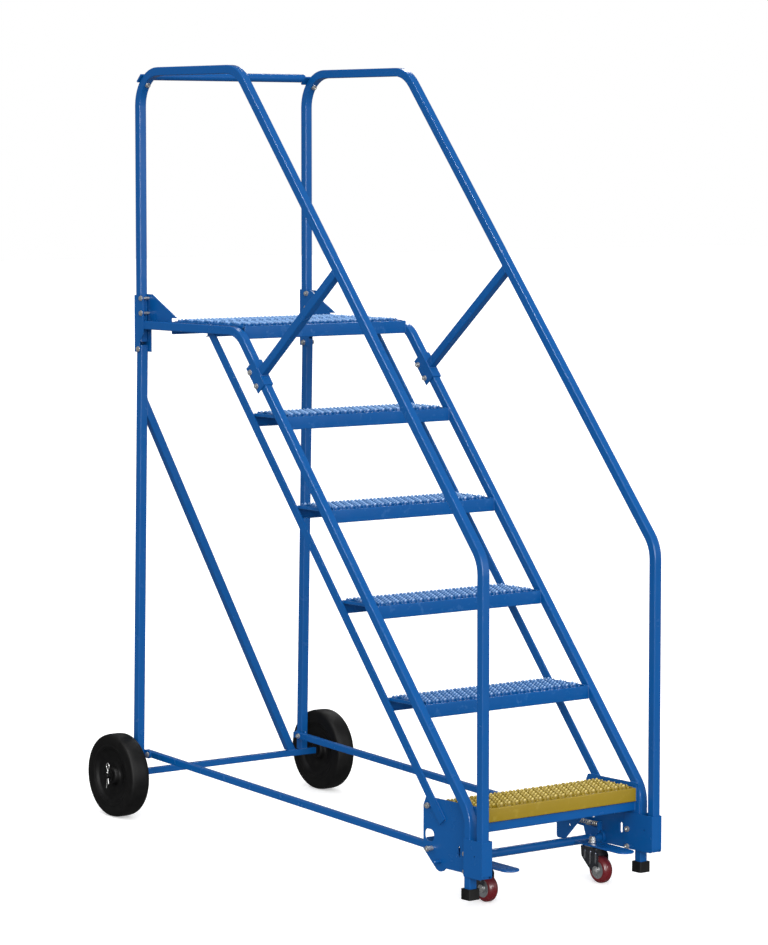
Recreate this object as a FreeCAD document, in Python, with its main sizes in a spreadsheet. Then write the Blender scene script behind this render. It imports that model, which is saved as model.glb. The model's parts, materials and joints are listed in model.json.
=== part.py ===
import FreeCAD
import Part
import Sketcher
import math
import os
import re

os.makedirs("parts", exist_ok=True)
doc = FreeCAD.newDocument("rolling_ladder")
Vector = FreeCAD.Vector

# The ladder's own frame has Y to the rear, Z up and Y = 0 at the rear posts. The ladder stands on its
# rear wheels and its sprung front casters, so that frame leans back on the floor by the angle lean.
DIMENSIONS = {
    # square tube of the frame
    "tube": 25.4, "tube_wall": 1.65, "tube_corner": 3.0, "frame_half": 312.4,
    # stringers: platform rail, incline at the climbing pitch, front leg
    "rise": 254.0, "pitch": 50.12, "rail_height": 1501.0, "rail_end": -26.0, "knee": -507.0,
    "foot_line": -1573.0, "stringer_base": -2.0, "stringer_bend": 90.0,
    # handrails
    "guard_top": 2262.2, "guard_knee": -506.0, "guard_bend": 102.0, "guard_front": -1625.6,
    "guard_front_base": 57.0, "post_base": 1450.0,
    # flat bars behind the steps
    "bar_thick": 6.35, "bar_line": -340.9, "bar_base": 184.0,
    # treads
    "tread_line_y": -1571.7, "tread_line_z": 206.8, "tread_depth": 178.0, "tread_face": 38.0,
    "tread_sheet": 2.0, "tooth_tall": 9.0, "tooth_thick": 3.0, "tooth_pitch": 28.0,
    "tooth_margin": 16.0, "bottom_step_z": 194.5, "plank_front": -515.8, "plank_depth": 187.5,
    "plank_gap": 0.5, "channel_face": -1566.0, "channel_base": 167.0, "channel_deep": 40.0,
    # handrail braces and their clamp brackets
    "brace_z": 1377.0, "clamp_long": 90.0, "clamp_reach": 28.0, "clamp_bolt_back": 19.5,
    "clamp_bolt_apart": 50.0,
    # sheet brackets
    "bracket_wall": 3.0, "plate_thick": 4.8,
    # side plates at the foot of the ladder
    "plate_rear": -1352.0, "plate_front": -1580.0, "plate_top": 246.0, "plate_base": 56.0,
    "plate_low_corner": 98.0, "plate_chamfer_y": 12.0, "plate_chamfer_z": 25.0, "lobe_radius": 28.0,
    "lobe_turn": 49.2, "window_y": -1377.5, "window_z": 139.0, "window_long": 43.0, "window_tall": 34.0,
    "slot_y": -1508.0, "slot_z": 111.0, "slot_wide": 12.0, "slot_tall": 31.0,
    "upper_bolt_y": -1376.0, "upper_bolt_z": 222.0,
    "foot_bolt_y": -1538.0, "foot_bolt_high": 111.0, "foot_bolt_low": 61.0,
    # front brackets and rubber feet
    "sleeve_base": 55.0, "sleeve_top": 160.0, "sleeve_outer_rear": -1562.0,
    "sleeve_inner_rear": -1524.0, "sleeve_hole_y": -1608.0, "sleeve_hole_z": 116.0,
    "sleeve_hole": 2.5, "foot_side": 38.0, "foot_tall": 30.0, "foot_base": -8.0,
    # rear post brackets
    "post_bracket_base": 1419.0, "post_bracket_top": 1591.0, "post_bracket_front": -30.0,
    "post_bolt_y": -20.0, "post_bolt_high": 1582.0, "post_bolt_low": 1537.0,
    "leg_bolt_y": -4.0, "leg_bolt_z": 1428.0, "gusset_tip_y": -168.0, "gusset_tip_z": 1526.0,
    # rear legs, diagonal and base rails
    "leg_line": 30.0, "leg_lean": 1.47, "leg_top": 1440.0, "lug_thick": 4.6,
    "diagonal_high": 1113.0, "diagonal_foot": 265.0,
    "rail_tube": 19.05, "rail_corner": 2.2, "rail_half": 285.2, "rail_rear_y": 0.0, "rail_rear_z": 183.0,
    "rail_front_y": -1391.0, "rail_front_z": 104.5, "rail_overhang": 12.0, "rail_tail": 27.0, "lug_reach": 12.0,
    # axle and rear wheels
    "axle_y": 24.0, "wheel_radius": 127.0, "wheel_wide": 64.0, "wheel_half": 391.5,
    "axle_tube_half": 357.0, "axle_tube_wall": 1.4, "rod_radius": 7.9, "rod_half": 438.0,
    "cotter_half": 431.0, "cotter_radius": 2.2, "cotter_tall": 52.0, "washer_radius": 17.0,
    "washer_thick": 2.0, "rim_radius": 84.0, "hub_radius": 36.0, "web_thick": 16.0,
    # handrail tie at the top of the rear posts
    "tie_paddle": 5.0, "tie_paddle_wide": 30.0, "tie_half": 292.0, "tie_end": 331.0,
    # fasteners
    "bolt_radius": 4.0, "bolt_slack": 0.1, "head_radius": 7.5, "head_tall": 5.3, "nut_tall": 6.5,
    "spacer_radius": 6.5, "rail_spacer": 17.0, "plate_spacer": 6.5, "foot_spacer": 3.0,
    # caster rocker: cross shaft, foot pedals, levers
    "shaft_y": -1425.0, "shaft_z": 72.0, "shaft_radius": 12.7, "shaft_wall": 3.0,
    "collar_radius": 19.0, "collar_inner": 286.0, "collar_outer": 294.4, "plug_inner": 270.0,
    "pin_radius": 5.5, "pin_half": 322.0,
    "running_gap": 0.08, "pedal_half": 210.0, "pedal_wide": 57.0, "pedal_thick": 5.0,
    "pedal_reach": 218.0, "lever_half": 250.0, "lever_thick": 5.0, "spring_z": 46.0,
    "spring_rear": 74.0, "spring_front": -39.0, "spring_radius": 7.0, "spring_wire": 1.2,
    "spring_turns": 14.0, "hanger_x": 141.0, "hanger_thick": 4.0, "hanger_front": 16.0,
    "hanger_rear": 19.0,
    # casters
    "kingpin_ahead": 55.0, "kingpin_radius": 6.0, "race_radius": 22.0, "race_thick": 5.0,
    "caster_radius": 38.1, "caster_trail": 40.0, "caster_wide": 32.0, "fork_inner": 18.0,
    "fork_wall": 2.5, "fork_top": 4.0, "fork_nose": 8.0, "fork_rear": 27.5, "caster_core": 25.0,
    "caster_axle": 4.0,
    # stance on the floor
    "lean": 1.337, "stance_shift": 770.4,
}
sheet = doc.addObject("Spreadsheet::Sheet", "dims")
for row, (alias, size) in enumerate(DIMENSIONS.items(), start=1):
    sheet.set(f"A{row}", alias)
    sheet.set(f"B{row}", str(size))
    sheet.setAlias(f"B{row}", alias)
doc.recompute()

SIDES = (("left", -1), ("right", 1))
parts = {}


# ---- expressions over the sheet
def bound(expression):
    """The expression as another object of the document reads it, with each alias taken from the sheet."""
    return re.sub(r"[a-z_]+", lambda word: ("dims." if word[0] in DIMENSIONS else "") + word[0],
                  str(expression))


def number(expression):
    result = sheet.evalExpression(bound(expression))
    return float(getattr(result, "Value", result))


def drive(item, **properties):
    """Bind properties to expressions; a double underscore stands for a dot in the property's path."""
    for name, expression in properties.items():
        item.setExpression(name.replace("__", "."), bound(expression))


def turned(origin, angle, along, across):
    """A point set out from origin: so far along a direction, then across it, turned to its left."""
    return (f"{origin[0]} + ({along}) * cos({angle}) - ({across}) * sin({angle})",
            f"{origin[1]} + ({along}) * sin({angle}) + ({across}) * cos({angle})")


def low_side(sign, inner, thick):
    """The lower X of a slab whose inner face stands at inner on the side of the ladder given by sign."""
    return f"{inner}" if sign > 0 else f"-({inner} + {thick})"


# ---- sketches
def new_body(label):
    body = doc.addObject("PartDesign::Body", label)
    body.Label = label
    return body


def origin_plane(body, role):
    return next(item for item in body.Origin.OriginFeatures if item.Role == role)


def sketch_on(body, role, at=("0", "0", "0"), axis=None, angle="0"):
    """A sketch on an origin plane, set off from it by at and turned about axis, in the plane's own axes."""
    sketch = body.newObject("Sketcher::SketchObject", f"{body.Name}_sketch")
    sketch.AttachmentSupport = [(origin_plane(body, role), "")]
    sketch.MapMode = "FlatFace"
    base = Vector(*(number(value) for value in at))
    spin = FreeCAD.Rotation(axis or Vector(0, 0, 1), number(angle))
    sketch.AttachmentOffset = FreeCAD.Placement(base, spin)
    for letter, value in zip("xyz", at):
        sketch.setExpression(f"AttachmentOffset.Base.{letter}", bound(value))
    if axis:
        sketch.setExpression("AttachmentOffset.Rotation.Angle", bound(angle))
    return sketch


def fix_point(sketch, geometry, end, corner):
    for kind, expression in zip(("DistanceX", "DistanceY"), corner):
        index = sketch.addConstraint(Sketcher.Constraint(kind, geometry, end, number(expression)))
        sketch.setExpression(f"Constraints[{index}]", bound(expression))


def corner_arc(before, corner, after, radius):
    """The round at a corner: its arc, whether it turns left, and its length along each run."""
    incoming = (corner - before).normalize()
    outgoing = (after - corner).normalize()
    left = incoming.x * outgoing.y - incoming.y * outgoing.x > 0
    turn = incoming.getAngle(outgoing)
    trim = radius * math.tan(turn / 2)
    side = Vector(-incoming.y, incoming.x, 0) * (radius if left else -radius)
    centre = corner - incoming * trim + side
    first = corner - incoming * trim - centre
    last = corner + outgoing * trim - centre
    start, end = (first, last) if left else (last, first)
    angles = [math.atan2(spoke.y, spoke.x) for spoke in (start, end)]
    circle = Part.Circle(centre, Vector(0, 0, 1), radius)
    return Part.ArcOfCircle(circle, angles[0], angles[1]), left, trim


def draw(sketch, corners, closed=True):
    """Draw runs through corners, each (across, up) or (across, up, radius), all bound to the sheet."""
    count = len(corners)
    points = [Vector(number(corner[0]), number(corner[1]), 0) for corner in corners]
    arcs = {}
    for index, corner in enumerate(corners):
        if len(corner) == 3:
            before, after = points[index - 1], points[(index + 1) % count]
            arcs[index] = corner_arc(before, points[index], after, number(corner[2]))
    runs = []
    for index in range(count if closed else count - 1):
        following = (index + 1) % count
        ahead = (points[following] - points[index]).normalize()
        start = points[index] + ahead * (arcs[index][2] if index in arcs else 0)
        end = points[following] - ahead * (arcs[following][2] if following in arcs else 0)
        runs.append(sketch.addGeometry(Part.LineSegment(start, end)))
    for index, corner in enumerate(corners):
        before = runs[index - 1] if closed or index > 0 else None
        after = runs[index] if index < len(runs) else None
        if index in arcs:
            arc, left = arcs[index][:2]
            round_off(sketch, corner, points[index], arc, left, before, after)
        elif before is None:
            fix_point(sketch, after, 1, corner)
        else:
            fix_point(sketch, before, 2, corner)
            if after is not None:
                sketch.addConstraint(Sketcher.Constraint("Coincident", before, 2, after, 1))


def round_off(sketch, corner, point, arc, left, before, after):
    """Add a corner's arc, tangent to both runs, which point at the corner itself."""
    mark = sketch.addGeometry(Part.Point(point), True)
    fix_point(sketch, mark, 1, corner)
    curve = sketch.addGeometry(arc)
    for run in (before, after):
        sketch.addConstraint(Sketcher.Constraint("PointOnObject", mark, 1, run))
    ends = (1, 2) if left else (2, 1)
    sketch.addConstraint(Sketcher.Constraint("Tangent", before, 2, curve, ends[0]))
    sketch.addConstraint(Sketcher.Constraint("Tangent", curve, ends[1], after, 1))
    index = sketch.addConstraint(Sketcher.Constraint("Radius", curve, number(corner[2])))
    sketch.setExpression(f"Constraints[{index}]", bound(corner[2]))


def draw_circle(sketch, centre, radius):
    middle = Vector(number(centre[0]), number(centre[1]), 0)
    circle = sketch.addGeometry(Part.Circle(middle, Vector(0, 0, 1), number(radius)))
    fix_point(sketch, circle, 3, centre)
    index = sketch.addConstraint(Sketcher.Constraint("Radius", circle, number(radius)))
    sketch.setExpression(f"Constraints[{index}]", bound(radius))


def rectangle(centre, wide, tall, radius=None):
    corners = [(f"{centre[0]} + {x} * ({wide}) / 2", f"{centre[1]} + {y} * ({tall}) / 2")
               for x, y in ((-1, -1), (1, -1), (1, 1), (-1, 1))]
    return [corner + (radius,) for corner in corners] if radius else corners


def draw_square_ring(sketch, side="tube", wall="tube_wall", corner="tube_corner"):
    """A square tube's section, outside and inside."""
    draw(sketch, rectangle(("0", "0"), side, side, corner))
    bore = f"{side} - 2 * {wall}"
    draw(sketch, rectangle(("0", "0"), bore, bore, f"{corner} - {wall}"))


# ---- features
def pad(body, sketch, length):
    feature = body.newObject("PartDesign::Pad", f"{body.Name}_pad")
    feature.Profile = sketch
    feature.setExpression("Length", bound(length))
    return feature


def pad_outline(body, role, offset, corners, length):
    sketch = sketch_on(body, role, ("0", "0", offset))
    draw(sketch, corners)
    return pad(body, sketch, length)


def pocket(body, sketch):
    """Cut the sketch right through the body, both ways."""
    feature = body.newObject("PartDesign::Pocket", f"{body.Name}_pocket")
    feature.Profile = sketch
    feature.SideType = "Symmetric"
    feature.Type = "ThroughAll"
    return feature


def drill(body, role, centres, radius="bolt_radius + bolt_slack"):
    sketch = sketch_on(body, role)
    for centre in centres:
        draw_circle(sketch, centre, radius)
    return pocket(body, sketch)


def revolve(body, corners):
    """Turn a closed outline, drawn in X and Z, about the X axis."""
    sketch = sketch_on(body, "XZ_Plane")
    draw(sketch, corners)
    feature = body.newObject("PartDesign::Revolution", f"{body.Name}_revolution")
    feature.Profile = sketch
    feature.ReferenceAxis = (sketch, ["H_Axis"])
    feature.Angle = 360
    return feature


# ---- places
def on_ladder(item):
    """Stand an item drawn in the ladder's own frame on the floor, leaning back."""
    item.Placement = FreeCAD.Placement(Vector(), FreeCAD.Rotation(Vector(-1, 0, 0), number("lean")))
    drive(item, Placement__Rotation__Angle="lean",
          Placement__Base__y="stance_shift - axle_y * cos(lean) - wheel_radius * sin(lean)",
          Placement__Base__z="wheel_radius + axle_y * sin(lean) - wheel_radius * cos(lean)")


def on_leg(item):
    """Place an item drawn along the rear legs, whose frame starts on top of the axle tube."""
    item.Placement = FreeCAD.Placement(Vector(), FreeCAD.Rotation(Vector(1, 0, 0), 1))
    down = "(rail_tube / 2 + 0.35)"
    drive(item, Placement__Rotation__Angle="leg_lean - lean",
          Placement__Base__y=f"stance_shift + (leg_line - axle_y) * cos(lean) + {down} * sin(lean)",
          Placement__Base__z=f"wheel_radius - (leg_line - axle_y) * sin(lean) + {down} * cos(lean)")


SHAFT_Y = "stance_shift + (shaft_y - axle_y) * cos(lean) + (shaft_z - wheel_radius) * sin(lean)"
SHAFT_Z = "wheel_radius - (shaft_y - axle_y) * sin(lean) + (shaft_z - wheel_radius) * cos(lean)"


def on_floor(item, across, back, up):
    """Place an item drawn level, about its own centre."""
    drive(item, Placement__Base__x=across, Placement__Base__y=back, Placement__Base__z=up)


def on_shaft(item, across="0", ahead="0", up="0"):
    on_floor(item, across, f"{SHAFT_Y} - ({ahead})", f"{SHAFT_Z} + {up}")


def keep(item, label, place, *where):
    """File a finished piece under its node name and put it in its place."""
    item.Label = label
    place(item, *where)
    parts[label] = item


# ---- bent and straight frame tubes
def tube_along(body, across, corners, angle, *section_sizes):
    """Sweep a square tube along a path in the plane at X = across; angle turns its first section."""
    path = sketch_on(body, "YZ_Plane", ("0", "0", across))
    draw(path, corners, closed=False)
    start = (across, corners[0][0], corners[0][1])
    section = sketch_on(body, "XY_Plane", start, Vector(1, 0, 0), angle)
    draw_square_ring(section, *section_sizes)
    sweep = body.newObject("PartDesign::AdditivePipe", f"{body.Name}_sweep")
    sweep.Profile = section
    sweep.Spine = (path, [])
    return sweep


def make_stringer(name, sign):
    body = new_body(f"{name}_stringer")
    low_knee = "rail_height + (foot_line - knee) * tan(pitch)"
    corners = [("rail_end", "rail_height"), ("knee", "rail_height", "stringer_bend"),
               ("foot_line", low_knee, "stringer_bend"), ("foot_line", "stringer_base")]
    tube_along(body, f"{sign} * frame_half", corners, "90")
    keep(body, body.Label, on_ladder)


TIE_CENTRE = ("-guard_bend", "guard_top - guard_bend")


def make_handrail(name, sign):
    body = new_body(f"{name}_handrail")
    low_knee = "guard_top + (guard_front - guard_knee) * tan(pitch)"
    corners = [("0", "post_base"), ("0", "guard_top", "guard_bend"),
               ("guard_knee", "guard_top", "guard_bend"),
               ("guard_front", low_knee, "guard_bend"), ("guard_front", "guard_front_base")]
    tube_along(body, f"{sign} * frame_half", corners, "0")
    doc.recompute()
    across, up = turned(TIE_CENTRE, "45", "guard_bend + tube", "0")
    hole = sketch_on(body, "XY_Plane", (f"{sign} * frame_half", across, up), Vector(1, 0, 0), "-45")
    draw_circle(hole, ("0", "0"), "bolt_radius + bolt_slack")
    cut = body.newObject("PartDesign::Pocket", f"{body.Name}_tie_hole")
    cut.Profile = hole
    cut.setExpression("Length", bound("2.5 * tube"))
    keep(body, body.Label, on_ladder)


def make_step_bar(name, sign):
    body = new_body(f"{name}_step_bar")
    top_z = "rail_height - tube / 2"
    half_cut = "tube / 2 / sin(pitch)"
    top_y = f"bar_line + ({top_z} - 1500) / tan(pitch)"
    low = ("bar_line + (bar_base - 1500) / tan(pitch)", "bar_base")
    corners = [turned(low, "pitch", "0", "tube / 2"), turned(low, "pitch", "0", "-tube / 2"),
               (f"{top_y} + {half_cut}", top_z), (f"{top_y} - {half_cut}", top_z)]
    offset = low_side(sign, "frame_half - tube / 2", "bar_thick")
    pad_outline(body, "YZ_Plane", offset, corners, "bar_thick")
    keep(body, body.Label, on_ladder)


BRACE_FOOT = ("knee + (brace_z - rail_height) / tan(pitch)", "brace_z")


def make_brace(name, sign):
    """A tube square to both the stringer and the handrail, between the bracket and the handrail."""
    body = new_body(f"{name}_handrail_brace")
    guard_height = "(guard_top - rail_height + (knee - guard_knee) * tan(pitch))"
    start = turned(BRACE_FOOT, "pitch", "0", "tube / 2 + bracket_wall")
    end = turned(BRACE_FOOT, "pitch", "0", f"{guard_height} * cos(pitch) - tube / 2")
    tube_along(body, f"{sign} * frame_half", [start, end], "pitch")
    keep(body, body.Label, on_ladder)


def make_brace_bracket(name, sign):
    """A channel that straddles the stringer, with the brace on its back and two clamp bolts."""
    body = new_body(f"{name}_brace_bracket")

    def strip(near, far):
        return [turned(BRACE_FOOT, "pitch", f"{end} * clamp_long / 2", level)
                for end, level in ((-1, near), (1, near), (1, far), (-1, far))]

    back = "(tube / 2 + bracket_wall)"
    flange = strip("-clamp_reach", back)
    pad_outline(body, "YZ_Plane", low_side(sign, "frame_half + tube / 2", "bracket_wall"), flange,
                "bracket_wall")
    pad_outline(body, "YZ_Plane", low_side(sign, f"frame_half - {back}", "2 * bracket_wall + tube"),
                strip("tube / 2", back), "2 * bracket_wall + tube")
    pad_outline(body, "YZ_Plane", low_side(sign, f"frame_half - {back}", "bracket_wall"), flange,
                "bracket_wall")
    holes = [turned(BRACE_FOOT, "pitch", f"{end} * clamp_bolt_apart / 2", "-clamp_bolt_back")
             for end in (-1, 1)]
    drill(body, "YZ_Plane", holes)
    keep(body, body.Label, on_ladder)


# ---- foot of the ladder
def make_side_plate(name, sign):
    body = new_body(f"{name}_side_plate")
    offset = low_side(sign, "frame_half - tube / 2 - plate_thick", "plate_thick")
    tangent = ("shaft_y + lobe_radius * cos(lobe_turn)", "shaft_z - lobe_radius * sin(lobe_turn)")
    corners = [("plate_rear", "plate_top - plate_chamfer_z", "4"),
               ("plate_rear - plate_chamfer_y", "plate_top", "4"), ("plate_front", "plate_top", "4"),
               ("plate_front", "plate_base", "4"), ("shaft_y - 20", "plate_base"),
               ("shaft_y", "shaft_z"), tangent, ("plate_rear", "plate_low_corner", "6")]
    pad_outline(body, "YZ_Plane", offset, corners, "plate_thick")
    lobe = sketch_on(body, "YZ_Plane", ("0", "0", offset))
    draw_circle(lobe, ("shaft_y", "shaft_z"), "lobe_radius")
    pad(body, lobe, "plate_thick")
    drill(body, "YZ_Plane", [("shaft_y", "shaft_z")], "pin_radius + running_gap")
    bolts = [("rail_front_y", "rail_front_z"), ("upper_bolt_y", "upper_bolt_z"),
             ("foot_bolt_y", "foot_bolt_high"), ("foot_bolt_y", "foot_bolt_low")]
    drill(body, "YZ_Plane", bolts)
    openings = sketch_on(body, "YZ_Plane")
    draw(openings, rectangle(("window_y", "window_z"), "window_long", "window_tall", "14"))
    draw(openings, rectangle(("slot_y", "slot_z"), "slot_wide", "slot_tall", "slot_wide / 2 - 0.1"))
    pocket(body, openings)
    keep(body, body.Label, on_ladder)


def make_front_bracket(name, sign):
    """A channel that holds the handrail's front post against the stringer's leg."""
    body = new_body(f"{name}_front_bracket")
    front = "guard_front - tube / 2 - bracket_wall"
    inner = "frame_half - tube / 2 - plate_thick - bracket_wall"
    outer = "frame_half + tube / 2"

    def flange(rear, low_round):
        return [(front, "sleeve_base", "9"), (rear, "sleeve_base", low_round),
                (rear, "sleeve_top", "3"), (front, "sleeve_top", "2")]

    pad_outline(body, "YZ_Plane", low_side(sign, outer, "bracket_wall"),
                flange("sleeve_outer_rear", "3"), "bracket_wall")
    web = [(front, "sleeve_base + 9"), (f"{front} + bracket_wall", "sleeve_base + 9"),
           (f"{front} + bracket_wall", "sleeve_top - 2"), (front, "sleeve_top - 2")]
    pad_outline(body, "YZ_Plane", low_side(sign, inner, f"{outer} + bracket_wall - ({inner})"), web,
                f"{outer} + bracket_wall - ({inner})")
    pad_outline(body, "YZ_Plane", low_side(sign, inner, "bracket_wall"),
                flange("sleeve_inner_rear", "6"), "bracket_wall")
    drill(body, "YZ_Plane", [("foot_bolt_y", "foot_bolt_high"), ("foot_bolt_y", "foot_bolt_low")])
    drill(body, "YZ_Plane", [("sleeve_hole_y", "sleeve_hole_z")], "sleeve_hole")
    keep(body, body.Label, on_ladder)


def make_foot_pad(name, sign):
    body = new_body(f"{name}_foot_pad")
    centre = (f"{sign} * frame_half", "foot_line")
    block = rectangle(centre, "foot_side", "foot_side", "4")
    pad_outline(body, "XY_Plane", "foot_base", block, "foot_tall")
    doc.recompute()
    socket = sketch_on(body, "XY_Plane", ("0", "0", "foot_base + foot_tall"))
    draw(socket, rectangle(centre, "tube + 0.1", "tube + 0.1", "tube_corner"))
    cut = body.newObject("PartDesign::Pocket", f"{body.Name}_socket")
    cut.Profile = socket
    cut.setExpression("Length", bound("foot_base + foot_tall - stringer_base"))
    keep(body, body.Label, on_ladder)


# ---- rear posts, legs and base
def make_post_bracket(name, sign):
    """A channel round the back of the post, with a gusset along the platform rail."""
    body = new_body(f"{name}_post_bracket")
    rear = "tube / 2 + bracket_wall"
    inner = "frame_half - tube / 2 - bracket_wall"
    outer = "frame_half + tube / 2"
    whole = f"{outer} + bracket_wall - ({inner})"
    cheek = [(rear, "post_bracket_base"), (rear, "post_bracket_top"),
             ("post_bracket_front", "post_bracket_top", "3"),
             ("post_bracket_front", "rail_height - tube", "3"), ("-tube / 2 + 3", "rail_height - 2 * tube"),
             ("-tube / 2 + 3", "post_bracket_base")]
    pad_outline(body, "YZ_Plane", low_side(sign, outer, "bracket_wall"), cheek, "bracket_wall")
    web = [("tube / 2", "post_bracket_base"), (rear, "post_bracket_base"), (rear, "post_bracket_top"),
           ("tube / 2", "post_bracket_top")]
    pad_outline(body, "YZ_Plane", low_side(sign, inner, whole), web, whole)
    plank_rear = "plank_front + 2 * plank_depth + plank_gap"
    gusset = [(rear, "post_bracket_base"), (rear, "post_bracket_top + 3"),
              ("-37", "post_bracket_top + 3", "3"), ("gusset_tip_y", "gusset_tip_z"),
              (f"{plank_rear} + 2", "gusset_tip_z - 1"), (f"{plank_rear} + 2", "rail_height - tube / 2"),
              ("post_bracket_front", "rail_height - tube / 2"), ("post_bracket_front", "post_bracket_base")]
    pad_outline(body, "YZ_Plane", low_side(sign, inner, "bracket_wall"), gusset, "bracket_wall")
    drill(body, "YZ_Plane", [("post_bolt_y", "post_bolt_high"), ("post_bolt_y", "post_bolt_low"),
                             ("leg_bolt_y", "leg_bolt_z")])
    keep(body, body.Label, on_ladder)


def leg_point(back, up):
    """A point of the ladder's frame as the legs' leaning frame has it."""
    rear, high = f"({back} - leg_line)", f"({up} - wheel_radius - rail_tube / 2 - 0.35)"
    return (f"{rear} * cos(leg_lean) + {high} * sin(leg_lean)",
            f"{high} * cos(leg_lean) - {rear} * sin(leg_lean)")


def make_leg(name, sign):
    """A leg with the lug for its base rail, drawn upright in the legs' leaning frame."""
    body = new_body(f"{name}_leg")
    section = sketch_on(body, "XY_Plane", (f"{sign} * frame_half", "0", "0"))
    draw_square_ring(section)
    pad(body, section, "leg_top - wheel_radius - rail_tube / 2")
    back, up = leg_point("rail_rear_y", "rail_rear_z")
    lug = [(f"{back} - lug_reach", f"{up} - lug_reach", "8"), ("tube / 2 - 3", f"{up} - lug_reach", "4"),
           ("tube / 2 - 3", f"{up} + lug_reach", "4"), (f"{back} - lug_reach", f"{up} + lug_reach", "8")]
    pad_outline(body, "YZ_Plane", low_side(sign, "frame_half - tube / 2 - lug_thick", "lug_thick"), lug,
                "lug_thick")
    drill(body, "YZ_Plane", [(back, up), leg_point("leg_bolt_y", "leg_bolt_z")], "bolt_radius + bolt_slack")
    keep(body, body.Label, on_leg)


def make_diagonal():
    """A straight tube across the rear legs, cut flush with the left leg and the axle tube."""
    body = new_body("leg_diagonal")
    face = "frame_half - tube / 2"
    run = f"({face} + diagonal_foot)"
    angle = f"180 deg - atan({run} / diagonal_high)"
    spare = "40"
    start = (f"-({face}) - {spare} * sin({angle})", "0", f"diagonal_high - {spare} * cos({angle})")
    section = sketch_on(body, "XY_Plane", start, Vector(0, 1, 0), angle)
    draw_square_ring(section)
    pad(body, section, f"hypot({run}; diagonal_high) + 2 * {spare}")
    trim = sketch_on(body, "XZ_Plane")
    draw(trim, [(f"-({face}) - 80", "diagonal_high - 200"), (f"-({face})", "diagonal_high - 200"),
                (f"-({face})", "diagonal_high + 200"), (f"-({face}) - 80", "diagonal_high + 200")])
    draw(trim, [("diagonal_foot - 100", "-80"), ("diagonal_foot + 100", "-80"),
                ("diagonal_foot + 100", "0"), ("diagonal_foot - 100", "0")])
    pocket(body, trim)
    keep(body, body.Label, on_leg)


def make_base_rail(name, sign):
    """A straight tube from the leg's lug to the side plate, with a tab that backs the caster spring."""
    body = new_body(f"{name}_base_rail")
    across = f"{sign} * rail_half"
    slope = "atan((rail_rear_z - rail_front_z) / (rail_rear_y - rail_front_y))"
    rear = turned(("rail_rear_y", "rail_rear_z"), slope, "rail_tail", "0")
    front = turned(("rail_front_y", "rail_front_z"), slope, "-rail_overhang", "0")
    tube_along(body, across, [rear, front], f"90 deg + {slope}", "rail_tube", "tube_wall", "rail_corner")
    tab_y = "shaft_y + spring_rear"
    tab = [(tab_y, "shaft_z + spring_z - 16"), (f"{tab_y} + 3", "shaft_z + spring_z - 16"),
           (f"{tab_y} + 3", "shaft_z + spring_z + 9"), (tab_y, "shaft_z + spring_z + 9")]
    reach = "rail_half - lever_half + 8"
    inner = "lever_half - 8"
    pad_outline(body, "YZ_Plane", low_side(sign, inner, reach), tab, reach)
    ends = [("rail_rear_y", "rail_rear_z"), ("rail_front_y", "rail_front_z")]
    drill(body, "YZ_Plane", ends)
    keep(body, body.Label, on_ladder)


def make_axle_tube():
    body = new_body("axle_tube")
    section = sketch_on(body, "YZ_Plane", ("axle_y", "wheel_radius", "-axle_tube_half"))
    draw_square_ring(section, "rail_tube", "axle_tube_wall", "rail_corner")
    pad(body, section, "2 * axle_tube_half")
    keep(body, body.Label, on_ladder)


def make_axle_rod():
    body = new_body("axle_rod")
    end = [("-rod_half", "0"), ("-rod_half", "rod_radius - 1.5"), ("-rod_half + 1.5", "rod_radius"),
           ("rod_half - 1.5", "rod_radius"), ("rod_half", "rod_radius - 1.5"), ("rod_half", "0")]
    revolve(body, end)
    drill(body, "XY_Plane", [("-cotter_half", "0"), ("cotter_half", "0")], "cotter_radius + 0.3")
    keep(body, body.Label, on_floor, "0", "stance_shift", "wheel_radius")


def make_tie():
    """The round rail that ties the handrails together, bolted across their top rear bends."""
    body = new_body("top_cross_rail")
    middle = turned(TIE_CENTRE, "45", "guard_bend + tube", "0")
    section = sketch_on(body, "YZ_Plane", ("0", "0", "-tie_half"))
    draw_circle(section, middle, "tube / 2")
    draw_circle(section, middle, "tube / 2 - tube_wall")
    pad(body, section, "2 * tie_half")
    near = "guard_bend + tube / 2"
    paddle = [turned(TIE_CENTRE, "45", level, f"{end} * tie_paddle_wide / 2")
              for level, end in ((near, -1), (f"{near} + tie_paddle", -1),
                                 (f"{near} + tie_paddle", 1), (near, 1))]
    for sign in (-1, 1):
        length = "tie_end - tie_half + 6"
        pad_outline(body, "YZ_Plane", low_side(sign, "tie_half - 6", length), paddle, length)
    across, up = turned(TIE_CENTRE, "45", "guard_bend + 2 * tube", "0")
    holes = sketch_on(body, "XY_Plane", ("0", across, up), Vector(1, 0, 0), "-45")
    for sign in (-1, 1):
        draw_circle(holes, (f"{sign} * frame_half", "0"), "bolt_radius + bolt_slack")
    cut = body.newObject("PartDesign::Pocket", "tie_holes")
    cut.Profile = holes
    cut.setExpression("Length", bound("2 * tube"))
    keep(body, body.Label, on_ladder)


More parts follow.
